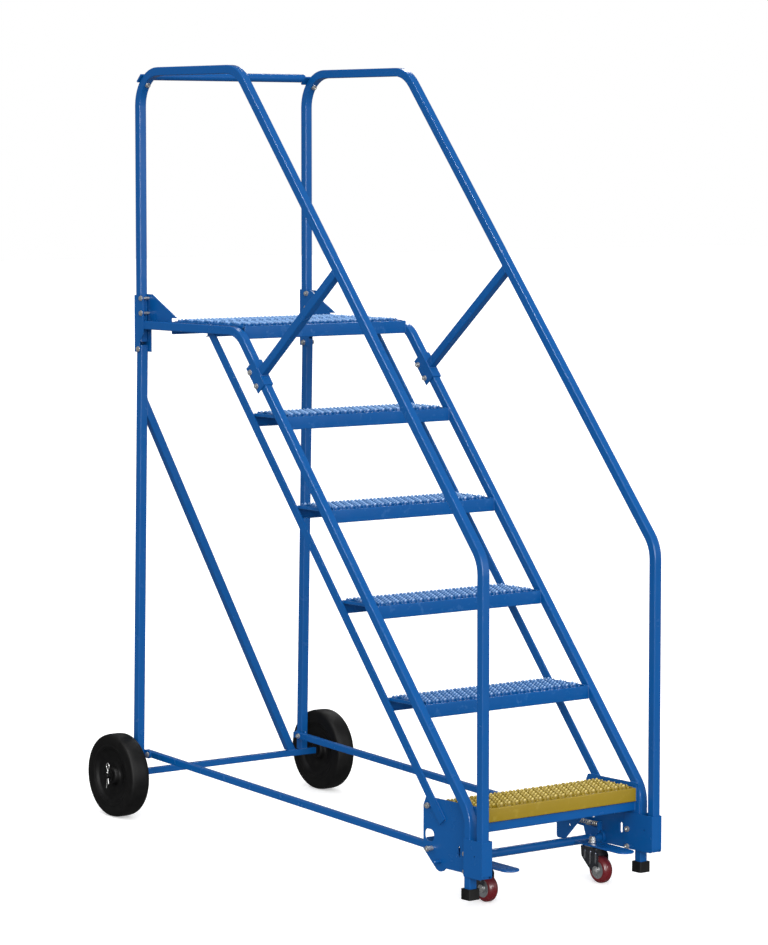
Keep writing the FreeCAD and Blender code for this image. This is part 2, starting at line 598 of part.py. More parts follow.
# ---- treads
def make_tread(label, front, base, depth, half):
    """A folded channel, open below, with a row of upright toothed ribs on top."""
    body = new_body(label)
    top = f"{base} + tread_face"
    rear = f"{front} + {depth}"
    channel = [(front, base), (front, top, "2.5"), (rear, top, "2.5"), (rear, base),
               (f"{rear} - tread_sheet", base), (f"{rear} - tread_sheet", f"{top} - tread_sheet"),
               (f"{front} + tread_sheet", f"{top} - tread_sheet"), (f"{front} + tread_sheet", base)]
    pad_outline(body, "YZ_Plane", f"-({half})", channel, f"2 * ({half})")
    first = f"-({half}) + tooth_margin"
    rib = [(f"{front} + 8", f"{top} - 0.5"), (f"{rear} - 8", f"{top} - 0.5"),
           (f"{rear} - 8", f"{top} + tooth_tall"), (f"{front} + 8", f"{top} + tooth_tall")]
    row = pad_outline(body, "YZ_Plane", first, rib, "tooth_thick")
    doc.recompute()
    pattern = body.newObject("PartDesign::LinearPattern", f"{label}_ribs")
    pattern.Originals = [row]
    pattern.Direction = (origin_plane(body, "X_Axis"), [""])
    pattern.Mode = "Spacing"
    pattern.setExpression("Offset", bound("tooth_pitch"))
    pattern.setExpression("Occurrences", bound(f"floor((2 * ({half}) - 2 * tooth_margin) / tooth_pitch) + 1"))
    body.Tip = pattern
    keep(body, label, on_ladder)


def make_treads():
    run = "rise / tan(pitch)"
    inside = "frame_half - tube / 2"
    make_tread("bottom_step", "tread_line_y", "bottom_step_z", "tread_depth", f"{inside} - plate_thick")
    for step in range(1, 5):
        make_tread(f"step_{step + 1}", f"tread_line_y + {step} * {run}", f"tread_line_z + {step} * rise",
                   "tread_depth", inside)
    level = "tread_line_z + 5 * rise"
    make_tread("platform_front_plank", "plank_front", level, "plank_depth", inside)
    make_tread("platform_rear_plank", "plank_front + plank_depth + plank_gap", level, "plank_depth", inside)


def make_cross_channel():
    """The channel under the bottom step, open to the rear."""
    body = new_body("cross_channel")
    face = "channel_face"
    rear = "channel_face + channel_deep"
    wall = "bracket_wall"
    low, high = f"channel_base + {wall}", f"bottom_step_z - {wall}"
    profile = [(face, "channel_base", "4"), (rear, "channel_base"), (rear, low),
               (f"{face} + {wall}", low), (f"{face} + {wall}", high), (rear, high),
               (rear, "bottom_step_z"), (face, "bottom_step_z", "4")]
    half = "(frame_half - tube / 2 - plate_thick)"
    pad_outline(body, "YZ_Plane", f"-{half}", profile, f"2 * {half}")
    keep(body, body.Label, on_ladder)


# ---- wheels
def make_rear_wheel(name, sign):
    across = f"{sign} * wheel_half"
    half = "wheel_wide / 2"
    tyre = new_body(f"{name}_tyre")
    revolve(tyre, [(f"-{half}", "rim_radius", "4"), (f"-{half}", "wheel_radius - 16", "14"),
                   (f"-{half} + 12", "wheel_radius", "12"), (f"{half} - 12", "wheel_radius", "12"),
                   (f"{half}", "wheel_radius - 16", "14"), (f"{half}", "rim_radius", "4")])
    keep(tyre, tyre.Label, on_floor, across, "stance_shift", "wheel_radius")
    hub = new_body(f"{name}_hub")
    web = "web_thick / 2"
    bore = "rod_radius + running_gap"
    rim = "rim_radius - 9"
    seat = "rim_radius"
    revolve(hub, [(f"-{half}", bore), (f"-{half}", "hub_radius", "4"), (f"-{web}", "hub_radius + 4", "6"),
                  (f"-{web}", rim, "6"), (f"-{half} + 6", rim), (f"-{half} + 6", seat),
                  (f"{half} - 6", seat), (f"{half} - 6", rim), (web, rim, "6"),
                  (web, "hub_radius + 4", "6"), (half, "hub_radius", "4"), (half, bore)])
    keep(hub, hub.Label, on_floor, across, "stance_shift", "wheel_radius")


# ---- caster rocker
def make_shaft():
    """The cross shaft, a round tube between the two end plugs."""
    body = new_body("rocker_shaft")
    bore = "shaft_radius - shaft_wall"
    revolve(body, [("-collar_inner", bore), ("-collar_inner", "shaft_radius"),
                   ("collar_inner", "shaft_radius"), ("collar_inner", bore)])
    keep(body, body.Label, on_shaft)


def make_shaft_pivot(sign):
    """A plug in the shaft's end, with a collar inside the side plate and a solid pin through it."""
    body = new_body(f"pivot_{'right' if sign > 0 else 'left'}")
    plug = "shaft_radius - shaft_wall - 0.05"
    outline = [("plug_inner", "0"), ("plug_inner", plug), ("collar_inner", plug),
               ("collar_inner", "collar_radius"), ("collar_outer", "collar_radius"),
               ("collar_outer", "pin_radius"), ("pin_half - 1.5", "pin_radius"),
               ("pin_half", "pin_radius - 1.5"), ("pin_half", "0")]
    revolve(body, [(f"{sign} * ({across})", up) for across, up in outline])
    on_shaft(body)
    return body


def make_pedal(name, sign):
    """A flat foot pedal welded to the front of the shaft, rounded at its tip."""
    body = new_body(f"{name}_pedal")
    root = "shaft_radius + 0.05"
    half = "pedal_wide / 2"
    outline = [(f"-{half}", f"-({root})", "2"), (f"-{half}", "-pedal_reach", f"{half} - 1"),
               (half, "-pedal_reach", f"{half} - 1"), (half, f"-({root})", "2")]
    pad_outline(body, "XY_Plane", "-pedal_thick / 2", outline, "pedal_thick")
    drill(body, "XY_Plane", [("0", "-kingpin_ahead")], "kingpin_radius + bolt_slack")
    keep(body, body.Label, on_shaft, f"{sign} * pedal_half")


def make_lever(name, sign):
    """An upright plate on the shaft, with a turned-in seat for the spring's front end."""
    body = new_body(f"{name}_lever")
    outline = [("-16", "shaft_radius * 0.6", "4"), ("16", "shaft_radius * 0.6", "4"),
               ("28", "spring_z - spring_radius - 2", "6"),
               ("spring_front - 3", "spring_z - spring_radius - 2"),
               ("spring_front - 3", "spring_z - spring_radius - 8")]
    pad_outline(body, "YZ_Plane", "-lever_thick / 2", outline, "lever_thick")
    seat = [("spring_front - 3", "spring_z - spring_radius - 8"),
            ("spring_front - 0.2", "spring_z - spring_radius - 8"),
            ("spring_front - 0.2", "spring_z + 9"), ("spring_front - 3", "spring_z + 9")]
    pad_outline(body, "YZ_Plane", "-8", seat, "16")
    drill(body, "YZ_Plane", [("0", "0")], "shaft_radius + 0.05")
    on_shaft(body, f"{sign} * lever_half")
    return body


def make_spring(name, sign):
    """A coil that pushes the lever forward, and so the casters down."""
    body = new_body(f"{name}_spring")
    section = sketch_on(body, "XZ_Plane")
    draw_circle(section, ("spring_radius - spring_wire", "0"), "spring_wire")
    coil = body.newObject("PartDesign::AdditiveHelix", f"{name}_coil")
    coil.Profile = section
    coil.ReferenceAxis = (section, ["V_Axis"])
    coil.Mode = "height-turns-angle"
    coil.setExpression("Height", bound("spring_rear - spring_front - 2 * spring_wire - 1"))
    coil.setExpression("Turns", bound("spring_turns"))
    body.Placement = FreeCAD.Placement(Vector(), FreeCAD.Rotation(Vector(-1, 0, 0), 90))
    keep(body, body.Label, on_shaft, f"{sign} * lever_half", "-spring_front - spring_wire - 0.5",
         "spring_z")


def make_hanger():
    """A plate behind the cross channel, hung from the step's top sheet, whose foot stands over the shaft."""
    body = new_body("shaft_hanger")
    front = "channel_face + channel_deep"
    foot = "shaft_z + shaft_radius + 1.5"
    head = "bottom_step_z + tread_face - tread_sheet"
    outline = [(front, head), (front, "channel_base + 3"), ("shaft_y - hanger_front", foot, "8"),
               ("shaft_y + hanger_rear", foot, "8"), ("shaft_y + hanger_rear", head)]
    pad_outline(body, "YZ_Plane", "hanger_x", outline, "hanger_thick")
    drill(body, "YZ_Plane", [(f"{front} + 64.5", "channel_base - 37.3")], "4")
    keep(body, body.Label, on_ladder)


# ---- casters
PEDAL_UNDER = "-pedal_thick / 2"


def make_fork(name, sign):
    """The swivelling fork, drawn about the kingpin with the pedal's underside at zero."""
    body = new_body(f"{name}_caster_fork")
    crown = "-race_thick - 0.4"
    axle_up = f"caster_radius - ({SHAFT_Z} {PEDAL_UNDER})"
    side = "fork_inner + fork_wall"
    nose = "-caster_trail - fork_nose"
    top = [(f"-({side})", f"{nose} + 6", "10"), (side, f"{nose} + 6", "10"), (side, "fork_rear", "4"),
           (f"-({side})", "fork_rear", "4")]
    pad_outline(body, "XY_Plane", f"{crown} - fork_top", top, "fork_top")
    under = f"{crown} - fork_top"
    cheek = [("fork_rear - 3", f"{under} + 0.5"), (f"{nose} + 16", f"{under} + 0.5"),
             (nose, f"{under} - 12", "9"), (nose, f"{axle_up} - 10", "9"),
             ("-caster_trail + 8", f"{axle_up} - 10", "8"), ("-10.5", f"{axle_up} + 3", "20"),
             ("7", f"{axle_up} + 18", "20"), ("22", f"{under} - 24", "16")]
    for hand in (-1, 1):
        pad_outline(body, "YZ_Plane", low_side(hand, "fork_inner", "fork_wall"), cheek, "fork_wall")
    drill(body, "XY_Plane", [("0", "0")], "kingpin_radius + running_gap")
    drill(body, "YZ_Plane", [("-caster_trail", axle_up)], "caster_axle + 0.05")
    keep(body, body.Label, on_shaft, f"{sign} * pedal_half", "kingpin_ahead", f"({PEDAL_UNDER})")


def make_caster_wheel(name, sign):
    half = "caster_wide / 2"
    where = (f"{sign} * pedal_half", f"{SHAFT_Y} - kingpin_ahead - caster_trail", "caster_radius")
    tread = new_body(f"{name}_caster_tread")
    revolve(tread, [(f"-{half}", "caster_core", "1"), (f"-{half}", "caster_radius - 7", "6"),
                    (f"-{half} + 8", "caster_radius", "7"), (f"{half} - 8", "caster_radius", "7"),
                    (half, "caster_radius - 7", "6"), (half, "caster_core", "1")])
    keep(tread, tread.Label, on_floor, *where)
    hub = new_body(f"{name}_caster_hub")
    boss = "fork_inner - 0.4"
    bore = "caster_axle + running_gap"
    revolve(hub, [(f"-({boss})", bore), (f"-({boss})", "8", "1"), (f"-{half} + 3", "10"),
                  (f"-{half} + 3", "caster_core - 4", "2"), (f"-{half} + 1", "caster_core - 3"),
                  (f"-{half} + 1", "caster_core"), (f"{half} - 1", "caster_core"),
                  (f"{half} - 1", "caster_core - 3"), (f"{half} - 3", "caster_core - 4", "2"),
                  (f"{half} - 3", "10"), (boss, "8", "1"), (boss, bore)])
    keep(hub, hub.Label, on_floor, *where)
    axle = new_body(f"{name}_caster_axle")
    cheek = "fork_inner + fork_wall + 0.1"
    revolve(axle, [(f"-({cheek}) - 4", "0"), (f"-({cheek}) - 4", "6.5"), (f"-({cheek})", "6.5"),
                   (f"-({cheek})", "caster_axle"), (cheek, "caster_axle"), (cheek, "6.5"),
                   (f"{cheek} + 5", "6.5"), (f"{cheek} + 5", "0")])
    keep(axle, axle.Label, on_floor, *where)


# ---- groups of identical small pieces
def hex_solid(name, radius, height):
    prism = doc.addObject("Part::Prism", name)
    prism.Polygon = 6
    drive(prism, Circumradius=radius, Height=height)
    return prism


def cylinder(name, radius, height):
    rod = doc.addObject("Part::Cylinder", name)
    drive(rod, Radius=radius, Height=height)
    return rod


def joined(kind, name, members):
    result = doc.addObject(kind, name)
    if kind == "Part::Cut":
        result.Base, result.Tool = members
    elif kind == "Part::Compound":
        result.Links = members
    else:
        result.Shapes = members
    return result


def bolt(name, grip):
    """A hex bolt along +Z: its head below zero, its shank up through the grip and the nut."""
    head = hex_solid(f"{name}_head", "head_radius", "head_tall")
    drive(head, Placement__Base__z="-head_tall")
    shank = cylinder(f"{name}_shank", "bolt_radius", f"{grip} + nut_tall + 3")
    return joined("Part::MultiFuse", name, [head, shank])


def nut(name, grip):
    blank = hex_solid(f"{name}_blank", "head_radius", "nut_tall")
    bore = cylinder(f"{name}_bore", "bolt_radius + bolt_slack", "nut_tall")
    result = joined("Part::Cut", name, [blank, bore])
    drive(result, Placement__Base__z=f"{grip} + 0.05")
    return result


def across_frame(item, sign, outer, height):
    """Lay an item drawn along +Z so that it points inboard along X from the X called outer."""
    item.Placement = FreeCAD.Placement(Vector(), FreeCAD.Rotation(Vector(0, -sign, 0), 90))
    drive(item, Placement__Base__x=f"{sign} * ({outer})", Placement__Base__y=height[0],
          Placement__Base__z=height[1])


def down_tie(item, sign, outer, height):
    """Lay an item drawn along +Z so that it points forward and down, square to the tie's paddle."""
    item.Placement = FreeCAD.Placement(Vector(), FreeCAD.Rotation(Vector(1, 0, 0), 135))
    drive(item, Placement__Base__x=f"{sign} * ({outer})", Placement__Base__y=height[0],
          Placement__Base__z=height[1])


def plate_bolts():
    """The bolts through each side plate: (Y, Z), the spacer outside the plate and the grip inboard of it."""
    return [(("foot_bolt_y", "foot_bolt_high"), "foot_spacer", "plate_thick + bracket_wall"),
            (("foot_bolt_y", "foot_bolt_low"), "foot_spacer", "plate_thick + bracket_wall"),
            (("rail_front_y", "rail_front_z"), "rail_spacer", "plate_thick + 0.2 + rail_tube"),
            (("upper_bolt_y", "upper_bolt_z"), "plate_spacer", "plate_thick")]


def bolt_stations():
    """Where each kind of frame bolt starts: outer X, (Y, Z), grip and how it is laid."""
    plate_outer = "frame_half - tube / 2"
    sleeve_outer = "frame_half + tube / 2 + bracket_wall"
    wide_grip = "tube + 2 * bracket_wall"
    clamp = [turned(BRACE_FOOT, "pitch", f"{end} * clamp_bolt_apart / 2", "-clamp_bolt_back")
             for end in (-1, 1)]
    tie = turned(TIE_CENTRE, "45", "guard_bend + tube / 2 + tie_paddle", "0")
    stations = [(sleeve_outer, place, wide_grip, across_frame) for place in clamp]
    stations += [(sleeve_outer, ("post_bolt_y", level), wide_grip, across_frame)
                 for level in ("post_bolt_high", "post_bolt_low")]
    stations.append((sleeve_outer, ("leg_bolt_y", "leg_bolt_z"), wide_grip, across_frame))
    for place, spacer, grip in plate_bolts():
        stations.append((f"{plate_outer} + {spacer}", place, f"{spacer} + {grip}", across_frame))
    stations.append((plate_outer, ("rail_rear_y", "rail_rear_z"), "lug_thick + 0.4 + rail_tube",
                     across_frame))
    stations.append(("frame_half", tie, "tie_paddle + tube + 0.4", down_tie))
    return stations


def make_fasteners():
    """All the frame's bolts in one group and their nuts in another."""
    bolts, nuts = [], []
    for name, sign in SIDES:
        for index, (outer, height, grip, lay) in enumerate(bolt_stations()):
            screw = bolt(f"bolt_{name}_{index}", grip)
            lay(screw, sign, outer, height)
            bolts.append(screw)
            cap = joined("Part::Compound", f"nut_{name}_{index}_set", [nut(f"nut_{name}_{index}", grip)])
            lay(cap, sign, outer, height)
            nuts.append(cap)
    keep(joined("Part::Compound", "frame_bolts", bolts), "frame_bolts", on_ladder)
    keep(joined("Part::Compound", "frame_nuts", nuts), "frame_nuts", on_ladder)


def make_spacers():
    """The sleeves between the side plates and the heads of their bolts."""
    sleeves = []
    for name, sign in SIDES:
        for index, (height, length, grip) in enumerate(plate_bolts()):
            blank = cylinder(f"spacer_{name}_{index}_blank", "spacer_radius", length)
            bore = cylinder(f"spacer_{name}_{index}_bore", "bolt_radius + bolt_slack", length)
            sleeve = joined("Part::Cut", f"spacer_{name}_{index}", [blank, bore])
            across_frame(sleeve, sign, f"frame_half - tube / 2 + {length}", height)
            sleeves.append(sleeve)
    keep(joined("Part::Compound", "bolt_spacers", sleeves), "bolt_spacers", on_ladder)


def make_axle_trim():
    """Washers each side of the wheels, and the cotter pins that keep them on the rod."""
    washers, pins = [], []
    inner = "axle_tube_half + 0.1"
    outer = "wheel_half + wheel_wide / 2 + 0.3"
    for name, sign in SIDES:
        for spot, low in (("inner", inner), ("outer", outer)):
            disc = cylinder(f"{name}_{spot}_disc", "washer_radius", "washer_thick")
            bore = cylinder(f"{name}_{spot}_bore", "rod_radius + 0.2", "washer_thick")
            ring = joined("Part::Cut", f"{name}_{spot}_washer", [disc, bore])
            ring.Placement = FreeCAD.Placement(Vector(), FreeCAD.Rotation(Vector(0, 1, 0), 90))
            drive(ring, Placement__Base__x=low_side(sign, low, "washer_thick"))
            washers.append(ring)
        pin = cylinder(f"{name}_pin", "cotter_radius", "cotter_tall")
        drive(pin, Placement__Base__x=f"{sign} * cotter_half", Placement__Base__z="-cotter_tall / 2")
        eye = doc.addObject("Part::Torus", f"{name}_eye")
        drive(eye, Radius1="5", Radius2="1.6")
        eye.Placement = FreeCAD.Placement(Vector(), FreeCAD.Rotation(Vector(1, 0, 0), 90))
        drive(eye, Placement__Base__x=f"{sign} * cotter_half", Placement__Base__z="cotter_tall / 2 + 4")
        pins.append(joined("Part::MultiFuse", f"{name}_cotter", [pin, eye]))
    rear = ("0", "stance_shift", "wheel_radius")
    keep(joined("Part::Compound", "axle_washers", washers), "axle_washers", on_floor, *rear)
    keep(joined("Part::Compound", "cotter_pins", pins), "cotter_pins", on_floor, *rear)


def make_kingpins():
    """Each caster's fixed top: its race under the pedal, its stud through it and the nut on top."""
    sets = []
    for name, sign in SIDES:
        race = cylinder(f"{name}_race", "race_radius", "race_thick")
        drive(race, Placement__Base__z="-race_thick")
        stud = cylinder(f"{name}_stud", "kingpin_radius", "race_thick + fork_top + pedal_thick + 22")
        drive(stud, Placement__Base__z="-race_thick - fork_top - 6")
        head = cylinder(f"{name}_stud_foot", "kingpin_radius + 3", "4")
        drive(head, Placement__Base__z="-race_thick - fork_top - 0.8 - 4")
        cap = hex_solid(f"{name}_kingpin_nut", "10", "8")
        drive(cap, Placement__Base__z="pedal_thick + 0.1")
        pin = joined("Part::MultiFuse", f"{name}_kingpin", [race, stud, head, cap])
        drive(pin, Placement__Base__x=f"{sign} * pedal_half")
        sets.append(pin)
    keep(joined("Part::Compound", "caster_kingpins", sets), "caster_kingpins", on_shaft, "0",
         "kingpin_ahead", f"({PEDAL_UNDER})")


def make_everything():
    for name, sign in SIDES:
        make_stringer(name, sign)
        make_handrail(name, sign)
        make_step_bar(name, sign)
        make_brace(name, sign)
        make_brace_bracket(name, sign)
        make_side_plate(name, sign)
        make_front_bracket(name, sign)
        make_foot_pad(name, sign)
        make_post_bracket(name, sign)
        make_leg(name, sign)
        make_base_rail(name, sign)
        make_rear_wheel(name, sign)
        make_pedal(name, sign)
        make_spring(name, sign)
        make_fork(name, sign)
        make_caster_wheel(name, sign)
    make_treads()
    make_cross_channel()
    make_diagonal()
    make_axle_tube()
    make_axle_rod()
    make_tie()
    make_shaft()
    make_hanger()
    levers = [make_lever(name, sign) for name, sign in SIDES]
    pivots = [make_shaft_pivot(sign) for name, sign in SIDES]
    doc.recompute()
    parts["lever_arms"] = joined("Part::Compound", "lever_arms", levers)
    parts["shaft_pivots"] = joined("Part::Compound", "shaft_pivots", pivots)
    make_fasteners()
    make_spacers()
    make_axle_trim()
    make_kingpins()


def check_and_write():
    doc.recompute()
    for item in doc.Objects:
        faults = [state for state in item.State if state in ("Invalid", "Error")]
        if faults:
            raise RuntimeError(f"{item.Name} failed: {faults}")
    for label, item in parts.items():
        shape = item.Shape
        if shape.isNull() or not shape.isValid() or not shape.Solids:
            raise RuntimeError(f"{label} has no valid solid")
        shape.exportStep(f"parts/{label}.step")
    box = Part.makeCompound([item.Shape for item in parts.values()]).BoundBox
    print(len(parts), "nodes; box", box)


make_everything()
check_and_write()
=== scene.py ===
"""A rolling warehouse ladder: everything that is seen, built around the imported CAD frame."""
import json
import math

import bmesh
import bpy
import numpy as np
from mathutils import Matrix, Vector
from mathutils.bvhtree import BVHTree


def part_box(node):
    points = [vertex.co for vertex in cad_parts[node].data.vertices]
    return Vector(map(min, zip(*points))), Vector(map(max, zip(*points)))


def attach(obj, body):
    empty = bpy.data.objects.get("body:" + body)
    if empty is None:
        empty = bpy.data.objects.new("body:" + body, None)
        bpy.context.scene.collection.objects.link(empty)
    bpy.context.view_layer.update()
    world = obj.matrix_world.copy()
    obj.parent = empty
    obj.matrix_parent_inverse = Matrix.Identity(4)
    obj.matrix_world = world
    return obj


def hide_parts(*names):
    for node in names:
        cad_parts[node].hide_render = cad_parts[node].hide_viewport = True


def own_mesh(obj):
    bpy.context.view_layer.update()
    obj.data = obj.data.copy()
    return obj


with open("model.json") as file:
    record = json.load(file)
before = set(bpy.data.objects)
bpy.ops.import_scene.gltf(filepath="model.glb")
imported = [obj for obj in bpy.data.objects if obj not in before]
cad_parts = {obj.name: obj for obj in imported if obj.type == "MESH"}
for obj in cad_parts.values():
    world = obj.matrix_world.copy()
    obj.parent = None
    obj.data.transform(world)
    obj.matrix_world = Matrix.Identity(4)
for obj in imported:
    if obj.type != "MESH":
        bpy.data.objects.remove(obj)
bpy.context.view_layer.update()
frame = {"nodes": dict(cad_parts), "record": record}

# The ladder leans back a little on its wheels: its own upright frame turns about the rear axle.
LEAN = math.radians(1.337)
AXLE = Vector((0, 0.024, 0.127))
AXLE_ON_FLOOR = Vector((0, 0.7704, 0.127))
TURN = Matrix.Rotation(-LEAN, 4, "X")
UPRIGHT = Matrix.Translation(AXLE_ON_FLOOR) @ TURN @ Matrix.Translation(-AXLE)


def upright_box(node):
    """A CAD node's box in the ladder's own upright frame."""
    back = UPRIGHT.inverted()
    points = np.array([back @ v.co for v in frame["nodes"][node].data.vertices])
    return Vector(points.min(0)), Vector(points.max(0))


# ---- materials
def new_material(name, rough, metal=0.0, specular=0.5):
    """A material whose constant values sit on the shader's own sockets."""
    material = bpy.data.materials.new(name)
    material.use_nodes = True
    shader = material.node_tree.nodes["Principled BSDF"]
    shader.inputs["Roughness"].default_value = rough
    shader.inputs["Metallic"].default_value = metal
    shader.inputs["Specular IOR Level"].default_value = specular
    return material


class Graph:
    """Short names for the nodes that the materials are made of."""

    def __init__(self, material):
        self.nodes = material.node_tree.nodes
        self.links = material.node_tree.links
        self.shader = self.nodes["Principled BSDF"]
        self.place = self.nodes.new("ShaderNodeTexCoord").outputs["Object"]

    def feed(self, socket, value):
        """Links a node's output to a socket, or sets the socket to a plain value."""
        if isinstance(value, bpy.types.NodeSocket):
            self.links.new(value, socket)
        else:
            socket.default_value = value

    def noise(self, scale, detail=2.0, rough=0.5, stretch=None):
        node = self.nodes.new("ShaderNodeTexNoise")
        node.inputs["Scale"].default_value = scale
        node.inputs["Detail"].default_value = detail
        node.inputs["Roughness"].default_value = rough
        place = self.place
        if stretch:
            mapping = self.nodes.new("ShaderNodeMapping")
            mapping.inputs["Scale"].default_value = stretch
            self.links.new(place, mapping.inputs["Vector"])
            place = mapping.outputs["Vector"]
        self.links.new(place, node.inputs["Vector"])
        return node.outputs["Fac"]

    def ramp(self, value, low, high, to=(0.0, 1.0)):
        node = self.nodes.new("ShaderNodeMapRange")
        self.links.new(value, node.inputs["Value"])
        node.inputs["From Min"].default_value = low
        node.inputs["From Max"].default_value = high
        node.inputs["To Min"].default_value = to[0]
        node.inputs["To Max"].default_value = to[1]
        return node.outputs["Result"]

    def product(self, a, b):
        node = self.nodes.new("ShaderNodeMath")
        node.operation = "MULTIPLY"
        self.feed(node.inputs[0], a)
        self.feed(node.inputs[1], b)
        return node.outputs[0]

    def mix(self, share, a, b):
        node = self.nodes.new("ShaderNodeMix")
        node.data_type = "RGBA"
        self.feed(node.inputs["Factor"], share)
        self.feed(node.inputs["A"], a)
        self.feed(node.inputs["B"], b)
        return node.outputs["Result"]

    def bump(self, height, distance, strength=1.0, under=None):
        node = self.nodes.new("ShaderNodeBump")
        node.inputs["Distance"].default_value = distance
        node.inputs["Strength"].default_value = strength
        self.links.new(height, node.inputs["Height"])
        if under is not None:
            self.links.new(under, node.inputs["Normal"])
        return node.outputs["Normal"]

    def edges(self, radius):
        """One on sharp edges and nothing on flat faces, with the normal that rounds those edges."""
        bevel = self.nodes.new("ShaderNodeBevel")
        bevel.samples = 4
        bevel.inputs["Radius"].default_value = radius
        geometry = self.nodes.new("ShaderNodeNewGeometry")
        dot = self.nodes.new("ShaderNodeVectorMath")
        dot.operation = "DOT_PRODUCT"
        self.links.new(bevel.outputs["Normal"], dot.inputs[0])
        self.links.new(geometry.outputs["Normal"], dot.inputs[1])
        return self.ramp(dot.outputs["Value"], 0.98, 0.80), bevel.outputs["Normal"]


def shade(colour, factor):
    """A colour made lighter or darker."""
    return tuple(min(1.0, c * factor) for c in colour[:3]) + (1.0,)


def powder_coat(name, colour, highlight_and_wear_colour, rough=0.25, worn=0.0, edge_highlight=0.3, tip_highlight_colour=None):
    """Sprayed powder paint: orange peel, slow colour drift, rubbed wear, and a painted highlight along sharp
    edges and on raised tips.
    """
    material = new_material(name, rough, specular=0.25)
    g = Graph(material)
    edge, round_normal = g.edges(0.0012)
    drift = g.ramp(g.noise(3.5, 3), 0.3, 0.7)
    mottled = g.ramp(g.noise(60, 4), 0.35, 0.65)
    base = g.mix(drift, shade(colour, 0.965), shade(colour, 1.035))
    base = g.mix(g.product(mottled, 0.12), base, shade(colour, 0.86))
    # painted highlight: sharp edges are mixed toward the lighter colour so they read as lit corner lines
    base = g.mix(g.product(edge, edge_highlight), base, highlight_and_wear_colour)
    if worn:
        # rubbed wear, in the same lighter colour
        rubbed = g.ramp(g.noise(38, 6, 0.65, (1.0, 0.35, 1.0)), 0.56, 0.72)
        base = g.mix(g.product(rubbed, worn), base, highlight_and_wear_colour)
    # painted highlight: the raised tips of the teeth, by their stored height, are mixed toward a light colour
    # in broken patches
    if tip_highlight_colour:
        tip = g.nodes.new("ShaderNodeAttribute")
        tip.attribute_name = "tip"
        height = g.ramp(tip.outputs["Fac"], 0.5, 0.95)
        patches = g.ramp(g.noise(420, 3), 0.2, 0.5, (0.6, 1))
        base = g.mix(g.product(height, patches), base, tip_highlight_colour)
    g.feed(g.shader.inputs["Base Color"], base)
    g.feed(g.shader.inputs["Roughness"], g.ramp(g.noise(24, 4), 0.3, 0.7, (rough - 0.02, rough + 0.03)))
    peel = g.bump(g.noise(600, 1.5), 0.000014, 1.0, round_normal)
    dents = g.bump(g.noise(14, 2), 0.0003, 0.10, peel)
    g.feed(g.shader.inputs["Normal"], dents)
    return material


def plated(name, colour, rough, dark, brushed=(1, 1, 1), metal=1.0):
    """Plated steel: fine brushing, a cloudy film and darker pits."""
    material = new_material(name, rough, metal=metal)
    g = Graph(material)
    cloud = g.ramp(g.noise(90, 5, 0.6), 0.3, 0.75)
    grain = g.noise(1400, 3, 0.7, brushed)
    base = g.mix(cloud, shade(colour, dark), colour)
    base = g.mix(g.ramp(grain, 0.45, 0.8, (0, 0.35)), base, shade(colour, dark * 0.8))
    g.feed(g.shader.inputs["Base Color"], base)
    g.feed(g.shader.inputs["Roughness"], g.ramp(cloud, 0, 1, (rough + 0.14, rough)))
    g.feed(g.shader.inputs["Normal"], g.bump(grain, 0.00003, 0.6))
    return material


def moulded(name, colour, rough, specular, dust, metal=0.0):
    """Rubber or plastic: fine grain, a light film of dust in cloudy patches and lighter scuffed patches."""
    material = new_material(name, rough, metal=metal, specular=specular)
    g = Graph(material)
    film = g.ramp(g.noise(34, 6, 0.62), 0.42, 0.78)
    scuff = g.ramp(g.noise(140, 5, 0.7, (1, 1, 0.4)), 0.55, 0.8)
    base = g.mix(g.product(film, 0.6), colour, dust)
    base = g.mix(g.product(scuff, 0.25), base, shade(dust, 1.3))
    g.feed(g.shader.inputs["Base Color"], base)
    g.feed(g.shader.inputs["Roughness"], g.ramp(film, 0, 1, (rough, rough + 0.12)))
    grain = g.bump(g.noise(1600, 2), 0.00005, 0.7)
    waves = g.bump(g.noise(210, 3), 0.0002, 0.25, grain)
    g.feed(g.shader.inputs["Normal"], waves)
    return material


BLUE = (0.0018, 0.079, 0.285, 1)
YELLOW = (0.275, 0.187, 0.010, 1)
# In each powder coat the second colour is a lighter shade painted on sharp edges as a highlight (and used for
# rubbed wear), and the last, where given, is a painted highlight on the tips of the teeth.
MATERIALS = {
    "blue_paint": powder_coat("blue_powder_coat", BLUE, (0.03, 0.20, 0.58, 1)),
    "yellow_paint": powder_coat("yellow_powder_coat", YELLOW, (0.80, 0.62, 0.16, 1), 0.34, 0.12, 0.6,
                                (0.86, 0.70, 0.22, 1)),
    "zinc": plated("zinc_plate", (0.62, 0.62, 0.61, 1), 0.22, 0.55, metal=0.7),
    "black_rubber": moulded("black_rubber", (0.004, 0.004, 0.004, 1), 0.6, 0.14,
                            (0.014, 0.0135, 0.013, 1)),
    "tyre_rubber": moulded("tyre_rubber", (0.0042, 0.0042, 0.0044, 1), 0.52, 0.12,
                           (0.009, 0.0088, 0.0085, 1)),
    "wheel_hub": moulded("hub_enamel", (0.0033, 0.0033, 0.0036, 1), 0.46, 0.16, (0.009, 0.009, 0.009, 1)),
    "spring_steel": plated("spring_steel", (0.62, 0.58, 0.50, 1), 0.26, 0.5, (1, 0.1, 1), 0.6),
    "caster_steel": plated("dark_chrome", (0.22, 0.23, 0.27, 1), 0.13, 0.4),
    "caster_tread": moulded("maroon_tread", (0.125, 0.008, 0.012, 1), 0.26, 0.3, (0.14, 0.03, 0.03, 1)),
    "caster_core": moulded("grey_core", (0.34, 0.35, 0.36, 1), 0.26, 0.4, (0.22, 0.22, 0.21, 1), metal=0.6),
}
